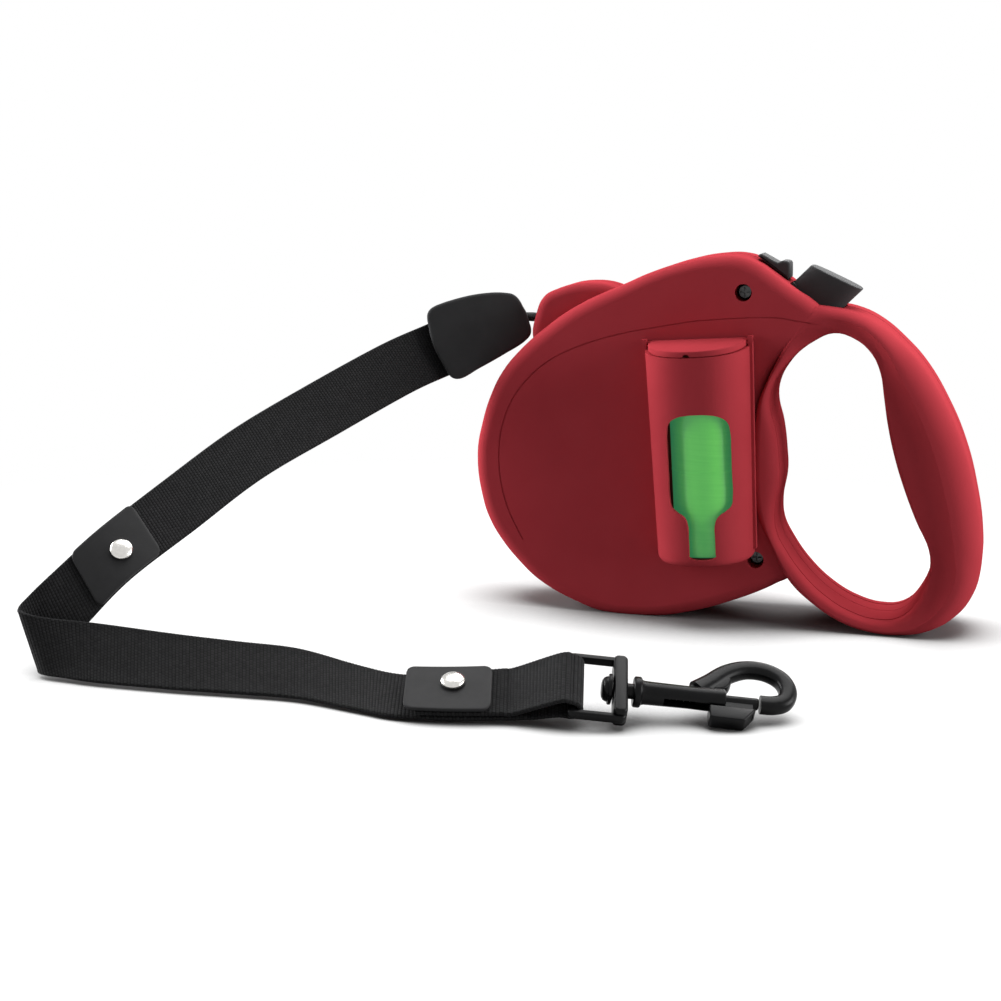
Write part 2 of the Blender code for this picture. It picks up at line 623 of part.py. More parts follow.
def build_screws(steel):
    for name, x, z in SCREWS:
        place = Matrix.Translation((x * MM, 0, z * MM)) @ Matrix.Rotation(-math.pi / 2, 4, "X")
        top, head = SCREW_HEAD_TOP, SCREW_HEAD_TOP + 2 * MM - GAP
        profile = [(0, top), (SCREW_HEAD_R - 0.5 * MM, top), (SCREW_HEAD_R, top + 0.6 * MM),
                   (SCREW_HEAD_R, head), (SCREW_SHANK_R, head), (SCREW_SHANK_R, SCREW_TIP - MM),
                   (0, SCREW_TIP)]
        screw = turned(profile, 20, place)
        for a, b in ((1.5, 0.3), (0.3, 1.5)):
            low = Vector((x - a, top / MM - 1, z - b)) * MM
            high = Vector((x + a, top / MM + 1.0, z + b)) * MM
            screw = cut(screw, box(low, high))
        finish(name, screw, steel)


def build_reel(plastic, steel, spring_steel, cord):
    axis = Vector((REEL_X, 0, REEL_Z))
    end = CASE_HALF - WALL - GAP
    finish("reel_axle", rod(axis + Vector((0, -end, 0)), axis + Vector((0, end, 0)), AXLE_R), steel)
    bore = AXLE_R + GAP
    front, face = TOOTH_DISC
    back = BACK_FLANGE[0] - GAP
    inside = DRUM_R - DRUM_WALL
    hub = bore + 1.7 * MM
    profile = [(bore, front), (FLANGE_R, front), (FLANGE_R, face), (DRUM_R, face), (DRUM_R, back),
               (inside, back), (inside, face), (hub, face), (hub, face + 1.5 * MM), (bore, face + 1.5 * MM)]
    reel = turned(profile, 48, on_reel())
    foot = (axis - BUTTON).dot(ACROSS)
    under_pawl = aligned(axis - ACROSS * foot, ACROSS, Vector((0, 1, 0)))
    outside = FLANGE_R + 4 * MM
    for i in range(TEETH):
        spin = Matrix.Rotation(2 * math.pi * i / TEETH, 4, "Y")
        turn = Matrix.Translation(axis) @ spin @ Matrix.Translation(-axis)
        notch = prism([(-NOTCH_HALF, TOOTH_FLOOR), (NOTCH_HALF, TOOTH_FLOOR), (NOTCH_HALF, outside),
                       (-NOTCH_HALF, outside)], front - MM, face + GAP)
        bmesh.ops.transform(notch, verts=notch.verts, matrix=turn @ under_pawl)
        reel = cut(reel, notch)
    finish("reel", reel, plastic, axis)
    low, high = BACK_FLANGE
    profile = [(bore, low), (inside - 1.6 * MM, low), (inside - 1.6 * MM, low - 1.7 * MM),
               (inside - GAP, low - 1.7 * MM), (inside - GAP, low), (FLANGE_R, low), (FLANGE_R, high),
               (bore, high)]
    finish("reel_flange", turned(profile, 48, on_reel()), plastic, axis)
    finish("mainspring", mainspring(inside, face + 2 * MM, low - 2.1 * MM), spring_steel, axis)
    core = [(DRUM_R + GAP, face + GAP), (CORD_LAYER_R - CORD_R - GAP, face + GAP),
            (CORD_LAYER_R - CORD_R - GAP, low - GAP), (DRUM_R + GAP, low - GAP)]
    finish("cord_core", turned(core, 36, on_reel()), cord, axis)
    finish("wound_cord", wound_cord(), cord, axis)


def mainspring(outer, low, high):
    half = SPRING_STRIP / 2
    start, end = AXLE_R + GAP + SPRING_STRIP, outer - 1.7 * MM - SPRING_STRIP
    spare = (end - start) / SPRING_TURNS - SPRING_STRIP
    print("least self-gap of the mainspring, mm:", round(spare / MM, 2))
    per_turn = 16
    count = SPRING_TURNS * per_turn
    bm = bmesh.new()
    rings = []
    for i in range(count + 1):
        angle = 2 * math.pi * i / per_turn
        radius = start + (end - start) * i / count
        ring = []
        for reach, y in ((-half, low), (half, low), (half, high), (-half, high)):
            ring.append(bm.verts.new((REEL_X + (radius + reach) * math.cos(angle), y,
                                      REEL_Z + (radius + reach) * math.sin(angle))))
        rings.append(ring)
    for one, two in zip(rings, rings[1:]):
        for i in range(4):
            j = (i + 1) % 4
            bm.faces.new((one[i], one[j], two[j], two[i]))
    bm.faces.new(rings[0])
    bm.faces.new(list(reversed(rings[-1])))
    return outward(bm)


def wound_cord():
    """Loops from the back flange forward, ending in a short tail that leaves the top of the reel."""
    per_turn = 24
    count = CORD_TURNS * per_turn
    points = []
    for i in range(count + 1):
        angle = math.pi / 2 - 2 * math.pi * (count - i) / per_turn
        y = CORD_PITCH * (count - i) / per_turn
        points.append(Vector((REEL_X + CORD_LAYER_R * math.cos(angle), y,
                              REEL_Z + CORD_LAYER_R * math.sin(angle))))
    points.append(points[-1] + Vector((-3 * MM, 0, 0)))
    print("least self-gap of the wound cord, mm:", round((CORD_PITCH - 2 * CORD_R) / MM, 2))
    return tube(points, CORD_R, 1)


def build_brake(black, spring_steel):
    button = prism(button_outline(), -BUTTON_HALF_Y, BUTTON_HALF_Y, 1.0 * MM, 2)
    lift = PRESS * -BRAKE_TRAVEL / MM
    room = in_metres([(34, 116), (39.5 + lift.x, 111.4 + lift.z), (43.6 + lift.x, 94.3 + lift.z), (34, 95)])
    button = cut(button, prism(room, -3.25 * MM, -0.55 * MM))
    plate = button_line([(0, -6.2 * MM), (0, 3.6 * MM), (14.5 * MM, 3.6 * MM), (18.5 * MM, 1.75 * MM),
                         (STEM_END - 1.5 * MM, 1.75 * MM), (STEM_END, 0.8 * MM), (STEM_END, -0.8 * MM),
                         (STEM_END - 1.5 * MM, -1.75 * MM), (18.5 * MM, -1.75 * MM), (14.5 * MM, -6.2 * MM)])
    button = join(button, prism(plate, *TOOTH_DISC))
    peg = button_point(PEG_U, PEG_W)
    low = peg - PRESS * BRAKE_TRAVEL
    reach = PEG_R + GAP
    for start, end in ((peg, low), (peg, peg + LOCK_DIR * LOCK_TRAVEL), (low, low + LOCK_DIR * LOCK_TRAVEL)):
        along = (end - start).normalized()
        side = Vector((-along.z, 0, along.x)) * reach
        start, end = start - along * reach, end + along * reach
        line = [(p.x, p.z) for p in (start - side, end - side, end + side, start + side)]
        button = cut(button, prism(line, TOOTH_DISC[0] - MM, TOOTH_DISC[1] + MM))
    finish("brake_button", button, black, BUTTON)
    start, end = button_point(3.3 * MM, 0, 4.6 * MM), button_point(12.7 * MM, 0, 4.6 * MM)
    finish("brake_spring", coil(start, end, 1.5 * MM, 0.3 * MM, 5), spring_steel)


def build_lock(black):
    pad = in_metres([(30.6, 116.2), (32, 117.3), (37.2, 114.6), (38.6, 115.3), (40.8, 115.2), (41.5, 114.4),
                     (41.7, 109.5), (41.1, 108.6), (34.6, 113.35)])
    slider = prism(pad, -5 * MM, 5 * MM, 0.5 * MM, 2)
    peg = button_point(PEG_U, PEG_W)
    x, z = peg.x / MM, peg.z / MM
    tip = [(x + 2, z + 0.5), (x, z - 1.9), (x - 2, z - 0.5)]
    tongue = in_metres([(35.3, 114.0), (38.9, 111.4)] + tip)
    slider = join(slider, prism(tongue, -2.9 * MM, -0.9 * MM))
    slider = join(slider, rod_y(peg.x, peg.z, TOOTH_DISC[0] - 0.6 * MM, -1.2 * MM, PEG_R, 20))
    finish("lock_slider", slider, black, peg)


def build_nozzle_bush(plastic):
    profile = [(CORD_R + 0.6 * MM, 0), (3.6 * MM, 0), (3.6 * MM, 4 * MM), (CORD_R + 0.6 * MM, 4 * MM)]
    place = Matrix.Translation((NOZZLE_X, 0, CORD_Z)) @ Matrix.Rotation(math.pi / 2, 4, "Y")
    finish("nozzle_bush", turned(profile, 20, place), plastic)


def build_holder(red, bags, card):
    back = GAP
    holder = half_tube(0, HOLDER_LOW, HOLDER_HIGH + 2 * MM, back)
    holder = cut(holder, half_tube(-HOLDER_WALL, HOLDER_LOW + 2.2 * MM, HOLDER_HIGH + 6 * MM, -2 * MM))
    top = box((-0.1, -0.1, 0), (0.1, 0.1, 0.05))
    point = lid_axis() - HOLDER_UP * (LID_THICK - 0.5 * MM)
    bmesh.ops.transform(top, verts=top.verts, matrix=Matrix.Translation(point)
                        @ aligned(Vector(), HOLDER_SIDE, Vector((0, 1, 0)))
                        @ Matrix.Rotation(LID_SLOPE, 4, "X"))
    holder = cut(holder, top)
    window = [(10.2, -13.5), (10.4, 9), (9.0, 13), (5, 14.6), (0, 14.9), (-5, 14.6), (-9.0, 13), (-10.4, 9),
              (-10.2, -13.5), (-8.6, -16.4), (-4.9, -18.6), (-4.2, -30.7), (4.2, -30.7), (4.9, -18.6),
              (8.6, -16.4)]
    holder = cut(holder, holder_prism(window, -0.06, HOLDER.y - 2.2 * MM))
    half = HOLDER_HALF + HOLDER_FLARE * HOLDER_HIGH
    inside, outside = half / MM - 1.5, half / MM + 0.1
    for sign in (-1, 1):
        corners = ((inside, 28.5), (outside, 28.5), (outside, 36.8), (inside, 36.8))
        ear = [(sign * side, up) for side, up in corners]
        holder = join(holder, holder_prism(ear, -20.3 * MM, HOLDER.y - GAP))
    point = lid_axis()
    pin = HOLDER_SIDE * 0.03
    holder = cut(holder, rod(point - pin, point + pin, 0.95 * MM, 16))
    finish("bag_holder", holder, red)
    build_lid(red, half - 1.9 * MM)
    build_roll(bags, card)


def build_lid(red, half):
    bm = bmesh.new()
    rings = []
    for up in (HOLDER_HIGH + 0.2 * MM, HOLDER_HIGH + 0.2 * MM + LID_THICK):
        ring = [holder_point(half, 0.9 * MM, up)]
        for i in range(25):
            angle = math.pi * i / 24
            side = math.copysign(abs(math.cos(angle)) ** 0.85, math.cos(angle))
            depth = (HOLDER_DEPTH + 0.2 * MM) * math.sin(angle) ** 0.85
            ring.append(holder_point(half * side, max(1.2 * MM, depth), up))
        ring.append(holder_point(-half, 0.9 * MM, up))
        rings.append([bm.verts.new(p) for p in ring])
    for i in range(len(rings[0])):
        j = (i + 1) % len(rings[0])
        bm.faces.new((rings[0][i], rings[0][j], rings[1][j], rings[1][i]))
    bm.faces.new(rings[0])
    bm.faces.new(list(reversed(rings[1])))
    bmesh.ops.remove_doubles(bm, verts=bm.verts, dist=1e-6)
    bmesh.ops.recalc_face_normals(bm, faces=bm.faces)
    point = lid_axis()
    pin = HOLDER_SIDE * (half + 1.6 * MM)
    bm = join(bm, rod(point - pin, point + pin, 0.6 * MM, 16))
    bmesh.ops.transform(bm, verts=bm.verts, matrix=lid_turn())
    finish("bag_lid", bm, red, point)


def build_roll(bags, card):
    place = aligned(holder_point(0, HOLDER.y - ROLL_Y, 0), HOLDER_SIDE, Vector((0, 1, 0)))
    origin = place.translation.copy()
    hole = ROLL_CORE_R + GAP
    roll = [(hole, ROLL_LOW), (ROLL_R - 0.6 * MM, ROLL_LOW), (ROLL_R, ROLL_LOW + 0.6 * MM),
            (ROLL_R, ROLL_HIGH - 0.6 * MM), (ROLL_R - 0.6 * MM, ROLL_HIGH), (hole, ROLL_HIGH)]
    finish("bag_roll", turned(roll, 36, place), bags, origin)
    core = [(ROLL_CORE_R - 0.8 * MM, ROLL_LOW), (ROLL_CORE_R, ROLL_LOW), (ROLL_CORE_R, ROLL_HIGH),
            (ROLL_CORE_R - 0.8 * MM, ROLL_HIGH)]
    finish("roll_core", turned(core, 20, place), card, origin)


def build_lead(webbing, leather, nickel, black, cord):
    points = [Vector((x * MM, 0, CORD_Z)) for x in (REEL_X / MM - 3.4, -20, -28, -36, -44, -50)]
    finish("lead_cord", tube(points, CORD_R, 2), cord)
    build_stop(black)
    upper_place = rivet_place(UPPER_RIVET, UPPER_RIVET_UP, 1)
    lower_place = rivet_place(LOWER_RIVET, LOWER_RIVET_UP, -1)
    holes = []
    for place in (upper_place, lower_place):
        holes.append(rod(place @ Vector((0, 0, -6 * MM)), place @ Vector((0, 0, 6 * MM)), 1.5 * MM, 20))
    strap = ribbon(strap_rows(), STRAP_THICK)
    for hole in holes:
        strap = cut(strap, hole.copy())
    finish("strap", strap, webbing)
    base = STRAP_THICK / 2 + GAP + PATCH_THICK / 2
    upper = cut(ribbon(part_rows(UPPER_PATCH), PATCH_THICK, base), holes[0])
    finish("patch_upper", upper, leather)
    lower = cut(ribbon(part_rows(LOWER_PATCH), PATCH_THICK, -base - TAIL_LIFT), holes[1])
    finish("patch_lower", lower, leather)
    top = base + PATCH_THICK / 2 + GAP
    build_rivet("rivet_upper", upper_place, top, nickel)
    build_rivet("rivet_lower", lower_place, top + TAIL_LIFT, nickel)


def build_rivet(name, place, top, nickel):
    under = -STRAP_THICK / 2 - GAP
    tip = under - 0.7 * MM
    dome = [(RIVET_R * math.cos(a), top + 0.5 * MM + 1.3 * MM * math.sin(a))
            for a in (math.pi / 2 * i / 4 for i in range(5))]
    profile = [(1.15 * MM, tip), (1.15 * MM, top), (RIVET_R, top)] + dome[:-1] + [(0, dome[-1][1]), (0, tip)]
    finish(name, turned(profile, 20, place), nickel)
    washer = [(1.45 * MM, under - 0.9 * MM), (2.9 * MM, under - 0.9 * MM), (3.1 * MM, under - 0.5 * MM),
              (3.1 * MM, under), (1.45 * MM, under)]
    finish(name + "_back", turned(washer, 16, place), nickel)


def build_stop(black):
    along = STOP_ALONG.normalized()
    place = aligned(STOP_NARROW, along, STOP_ACROSS.cross(along))
    stop = prism(smooth_outline(STOP_LINE), -STOP_HALF, STOP_HALF, 2.4 * MM)
    bmesh.ops.transform(stop, verts=stop.verts, matrix=place)
    stop = cut(stop, rod(Vector((-0.0515, 0, CORD_Z)), Vector((-0.035, 0, CORD_Z)), CORD_R + GAP, 24))
    dense = spline_rows()[0]
    half = row_frames(dense)[0][1]
    rows = dense[:STRAP_STEPS + 3]
    lead_in = (rows[0][0] - rows[1][0]).normalized() * 0.5 * MM
    rows = [(rows[0][0] + lead_in, rows[0][1] + lead_in)] + rows
    slot = ribbon(rows, STRAP_THICK + 2 * GAP, 0.0, 1.0 + GAP / half.length)
    finish("cord_stop", cut(stop, slot), black)


def build_eye(black):
    length, half, thick = EYE_LENGTH / MM, EYE_WIDTH / MM / 2, EYE_THICK / MM
    bar, back, side = EYE_BAR / MM, EYE_BACK / MM, EYE_SIDE / MM
    right = bar / 2 - back
    left = right - length
    corner = 1.6
    line = [(left + corner, -half), (right - corner, -half), (right, corner - half), (right, half - corner),
            (right - corner, half), (left + corner, half), (left, half - corner), (left, corner - half)]
    eye = prism(in_metres(line), -thick / 2 * MM, thick / 2 * MM, 0.7 * MM, 2)
    bmesh.ops.transform(eye, verts=eye.verts, matrix=hook_frame() @ Matrix.Rotation(-math.pi / 2, 4, "X"))
    eye = cut(eye, hook_box((left + STRAP_BAR / MM, side - half, -5), (right - bar, half - side, 5)))
    low, high, rim = -bar / 2 - 0.2 - back, bar / 2 + 0.2 - back, 0.6
    boss = [(3.2, low), (4.0, low + rim), (4.0, high - rim), (3.2, high), (0, high), (0, low)]
    eye = join(eye, hook_turned(boss))
    eye = cut(eye, hook_turned([(2.4, low - 2), (2.4, high + 2), (0, high + 2), (0, low - 2)]))
    finish("swivel_eye", eye, black)


def build_hook(black, spring_steel):
    head = -EYE_BAR / 2 / MM - EYE_BACK / MM - 0.5
    collar = 2.4
    profile = [(0, head - 2.8), (2.0, head - 2.8), (3.2, head - 1.9), (3.4, head - 1.0), (4.1, head - 0.8),
               (4.1, head), (2.05, head), (2.05, collar), (3.8, collar), (4.1, collar + 0.4),
               (4.1, collar + 2), (3.2, collar + 2.4), (3.1, 8), (3.0, 17), (3.2, 26.0), (2.9, 26.8),
               (0, 26.8)]
    hook = hook_turned(profile)
    knots = [on_hook(x, y, 0) for x, y in HOOK_LOOP]
    points = []
    for i in range(len(knots) - 1):
        p0, p1, p2, p3 = knots[max(0, i - 1)], knots[i], knots[i + 1], knots[min(len(knots) - 1, i + 2)]
        for k in range(3):
            t = k / 3
            points.append(0.5 * (2 * p1 + (p2 - p0) * t + (2 * p0 - 5 * p1 + 4 * p2 - p3) * t ** 2
                                 + (3 * p1 - p0 - 3 * p2 + p3) * t ** 3))
    points.append(knots[-1])
    weights = [1.25 - 0.25 * min(1.0, i / 9) for i in range(len(points))]
    hook = join(hook, tube(points, 2.0 * MM, 2, weights))
    bore = BOLT_R / MM + GAP / MM
    hook = cut(hook, hook_turned([(bore, 6.8), (bore, 27.5), (0, 27.5), (0, 6.8)]))
    hook = cut(hook, hook_box((10.5, -9, -1.3), (28, 0, 1.3)))
    origin = SWIVEL.copy()
    finish("hook_body", hook, black, origin)
    build_bolt(black, spring_steel)


def build_bolt(black, spring_steel):
    radius, end = BOLT_R / MM, BOLT_END / MM
    bolt = hook_turned([(0, 19), (radius, 19), (radius, end - 0.3), (radius - 0.3, end), (0, end)])
    bolt = join(bolt, hook_box((21.2, -5.2, -1.0), (34.0, -0.6, 1.0)))
    lug = [(23.0, -4.3), (35.2, -4.3), (32.4, -7.8), (31.2, -8.3), (24.6, -8.1), (23.2, -6.6)]
    plate = prism(in_metres(lug), -1.7 * MM, 1.7 * MM, 0.6 * MM, 2)
    upright = Matrix.Rotation(-math.pi / 2, 4, "X")
    bmesh.ops.transform(plate, verts=plate.verts, matrix=hook_frame() @ upright)
    finish("hook_bolt", join(bolt, plate), black, on_hook(21.2, 0, 0))
    spring = coil(on_hook(7.1, 0, 0), on_hook(18.7, 0, 0), 1.1 * MM, 0.25 * MM, 6)
    finish("bolt_spring", spring, spring_steel)


def build():
    clear_scene()
    group = bpy.data.collections.new("retractable_leash")
    bpy.context.scene.collection.children.link(group)
    red = material("red moulded plastic", (0.36, 0.03, 0.04), 0.4)
    black_plastic = material("black plastic", (0.02, 0.02, 0.02), 0.5)
    steel = material("bright steel", (0.6, 0.6, 0.6), 0.3, 1.0)
    spring_steel = material("spring steel", (0.4, 0.4, 0.42), 0.35, 1.0)
    cord = material("black woven cord", (0.02, 0.02, 0.02), 0.9)
    bags = material("green bag film", (0.08, 0.42, 0.08), 0.45)
    card = material("grey card", (0.4, 0.37, 0.33), 0.9)
    webbing = material("black woven strap", (0.02, 0.02, 0.02), 0.9)
    leather = material("black leather", (0.025, 0.025, 0.025), 0.5)
    nickel = material("nickel plate", (0.65, 0.63, 0.6), 0.25, 1.0)
    black = material("black coated zinc", (0.025, 0.025, 0.025), 0.4, 0.2)
    build_case(red)
    build_screws(steel)
    build_reel(black_plastic, steel, spring_steel, cord)
    build_brake(black_plastic, spring_steel)
    build_lock(black_plastic)
    build_nozzle_bush(black_plastic)
    build_holder(red, bags, card)
    build_lead(webbing, leather, nickel, black_plastic, cord)
    build_eye(black)
    build_hook(black, spring_steel)


build()
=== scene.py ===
import json
import math

import bmesh
import bpy
from mathutils import Matrix, Vector


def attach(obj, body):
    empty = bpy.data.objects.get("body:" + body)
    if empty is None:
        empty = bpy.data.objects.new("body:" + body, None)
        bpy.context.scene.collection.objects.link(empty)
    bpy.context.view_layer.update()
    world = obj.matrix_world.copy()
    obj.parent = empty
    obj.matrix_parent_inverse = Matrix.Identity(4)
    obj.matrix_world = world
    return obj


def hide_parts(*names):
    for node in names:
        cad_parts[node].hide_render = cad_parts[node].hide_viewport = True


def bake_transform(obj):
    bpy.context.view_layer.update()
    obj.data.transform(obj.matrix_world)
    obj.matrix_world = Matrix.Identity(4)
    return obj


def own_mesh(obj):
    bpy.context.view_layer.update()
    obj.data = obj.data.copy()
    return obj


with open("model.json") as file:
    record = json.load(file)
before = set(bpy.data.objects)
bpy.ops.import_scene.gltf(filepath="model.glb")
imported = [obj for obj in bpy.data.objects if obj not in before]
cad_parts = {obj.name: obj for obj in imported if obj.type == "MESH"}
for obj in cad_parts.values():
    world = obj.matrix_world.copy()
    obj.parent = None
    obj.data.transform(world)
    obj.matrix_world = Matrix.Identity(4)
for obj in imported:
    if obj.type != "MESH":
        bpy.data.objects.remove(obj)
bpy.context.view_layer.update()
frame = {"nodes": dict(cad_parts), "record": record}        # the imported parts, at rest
nodes = frame["nodes"]
slotOf = {part["node"]: part["material_slot"] for part in frame["record"]["subparts"]}
mm = 0.001


def at(*place):
    # a place in millimetres
    return Vector(place) * mm


def linear(hexText):
    parts = [int(hexText[i:i + 2], 16) / 255 for i in (1, 3, 5)]
    return [p / 12.92 if p <= 0.04045 else ((p + 0.055) / 1.055) ** 2.4 for p in parts] + [1.0]


def addObject(name, data):
    item = bpy.data.objects.new(name, data)
    bpy.context.scene.collection.objects.link(item)
    return item


def addNode(tree, kind, values=None, links=None, **settings):
    node = tree.nodes.new(kind)
    for name, value in settings.items():
        setattr(node, name, value)
    for socket, value in (values or {}).items():
        node.inputs[socket].default_value = value
    for socket, source in (links or {}).items():
        tree.links.new(source, node.inputs[socket])
    return node


def startLook(name):
    look = bpy.data.materials.new(name)
    look.use_nodes = True
    look.node_tree.nodes.clear()
    return look, look.node_tree


def closeLook(tree, values, links):
    shader = addNode(tree, "ShaderNodeBsdfPrincipled", values, links)
    addNode(tree, "ShaderNodeOutputMaterial", links={"Surface": shader.outputs[0]})


# camera and light

cameraSetup = {"place": (108.2, -600.7, 150.3), "yaw": 15.0, "tilt": 79.2, "roll": 1.0, "lens": 67.86,
               "sensor": 36, "clip": (0.02, 50)}


def makeCamera(setup):
    data = bpy.data.cameras.new("camera")
    data.lens, data.sensor_width = setup["lens"], setup["sensor"]
    data.clip_start, data.clip_end = setup["clip"]
    camera = addObject("camera", data)
    turn = Matrix.Identity(4)
    for angle, axis in (("yaw", "Z"), ("tilt", "X"), ("roll", "Z")):
        turn = turn @ Matrix.Rotation(math.radians(setup[angle]), 4, axis)
    camera.matrix_world = Matrix.Translation(at(*setup["place"])) @ turn
    bpy.context.scene.camera = camera


# softboxes: place and aim in millimetres, width and height in metres, watts
lampSetup = {
    "topBox": {"place": (-20, 120, 740), "aim": (-10, -40, 40), "size": (0.7, 0.4), "power": 3.6},
    "backBox": {"place": (110, 520, 470), "aim": (60, 0, 50), "size": (0.5, 0.5), "power": 4.6},
    "leftBox": {"place": (-720, -40, 260), "aim": (0, -20, 60), "size": (0.5, 0.5), "power": 9.0},
    "rightBox": {"place": (760, -60, 260), "aim": (20, -20, 60), "size": (0.5, 0.5), "power": 5.6},
}


def makeLamps(setup):
    for name, lamp in setup.items():
        data = bpy.data.lights.new(name, "AREA")
        data.shape = "RECTANGLE"
        data.size, data.size_y = lamp["size"]
        data.energy = lamp["power"]
        place, aim = at(*lamp["place"]), at(*lamp["aim"])
        turn = (aim - place).to_track_quat("-Z", "Y").to_matrix().to_4x4()
        addObject(name, data).matrix_world = Matrix.Translation(place) @ turn


def seenRays(tree):
    # 1 where the eye sees the surface, straight, in a reflection or through glass
    path = addNode(tree, "ShaderNodeLightPath").outputs
    seen = path["Is Camera Ray"]
    for ray in ("Is Glossy Ray", "Is Transmission Ray"):
        seen = addNode(tree, "ShaderNodeMath", links={0: seen, 1: path[ray]}, operation="MAXIMUM").outputs[0]
    return seen


worldSetup = {"ambient": 0.15, "seen": 1.0}


def makeWorld(setup):
    world = bpy.data.worlds.new("white studio")
    world.use_nodes = True
    tree = world.node_tree
    tree.nodes.clear()
    level = addNode(tree, "ShaderNodeMapRange", {"To Min": setup["ambient"], "To Max": setup["seen"]},
                    {"Value": seenRays(tree)})
    light = addNode(tree, "ShaderNodeBackground", {"Color": (1, 1, 1, 1)}, {"Strength": level.outputs[0]})
    addNode(tree, "ShaderNodeOutputWorld", links={"Surface": light.outputs[0]})
    bpy.context.scene.world = world


# floor: sizes in metres, the reach of the painted contact shadow in millimetres, and how open the paper lies
# where that painted shadow is darkest and where the paper is plain
floorSetup = {"radius": 8.0, "sides": 96, "paint": "#7c7c7c", "bounce": "#8c8c8c", "glow": 0.85,
              "shadowReach": 45.0, "shadowSamples": 16, "darkest": 0.45, "plain": 0.86,
              "middle": (-0.025, -0.07, 0), "fadeFrom": 0.2, "fadeTo": 0.34}


def makeFloor(setup):
    # white paper sweep: matt, with the lamps' faint shadows and a painted soft contact shadow, plain white
    # away from it
    look, tree = startLook("white paper sweep")
    place = addNode(tree, "ShaderNodeTexCoord").outputs["Object"]
    away = addNode(tree, "ShaderNodeVectorMath", {1: setup["middle"]}, {0: place}, operation="DISTANCE")
    far = addNode(tree, "ShaderNodeMapRange", {"From Min": setup["fadeFrom"], "From Max": setup["fadeTo"]},
                  {"Value": away.outputs["Value"]}, interpolation_type="SMOOTHSTEP")
    paper = addNode(tree, "ShaderNodeBsdfDiffuse", {"Color": linear(setup["paint"])})
    bounce = addNode(tree, "ShaderNodeBsdfDiffuse", {"Color": linear(setup["bounce"])})
    # painted contact shadow: ambient occlusion dims the paper's glow close to what stands on it
    clear = addNode(tree, "ShaderNodeAmbientOcclusion", {"Distance": setup["shadowReach"] * mm},
                    samples=setup["shadowSamples"])
    level = addNode(tree, "ShaderNodeMapRange",
                    {"From Min": setup["darkest"], "From Max": setup["plain"], "To Max": setup["glow"]},
                    {"Value": clear.outputs["AO"]})
    glow = addNode(tree, "ShaderNodeEmission", links={"Strength": level.outputs[0]})
    plain = addNode(tree, "ShaderNodeEmission", {"Strength": 1.0})
    near = addNode(tree, "ShaderNodeAddShader", links={0: paper.outputs[0], 1: glow.outputs[0]})
    sweep = addNode(tree, "ShaderNodeMixShader",
                    links={0: far.outputs[0], 1: near.outputs[0], 2: plain.outputs[0]})
    surface = addNode(tree, "ShaderNodeMixShader",
                      links={0: seenRays(tree), 1: bounce.outputs[0], 2: sweep.outputs[0]})
    addNode(tree, "ShaderNodeOutputMaterial", links={"Surface": surface.outputs[0]})
    bm = bmesh.new()
    bmesh.ops.create_circle(bm, cap_ends=True, segments=setup["sides"], radius=setup["radius"])
    mesh = bpy.data.meshes.new("floor")
    bm.to_mesh(mesh)
    bm.free()
    mesh.materials.append(look)
    addObject("floor", mesh)


bpy.context.scene.view_settings.view_transform = "Standard"
makeCamera(cameraSetup)
makeLamps(lampSetup)
makeWorld(worldSetup)
makeFloor(floorSetup)
print("camera, light and floor are in place")


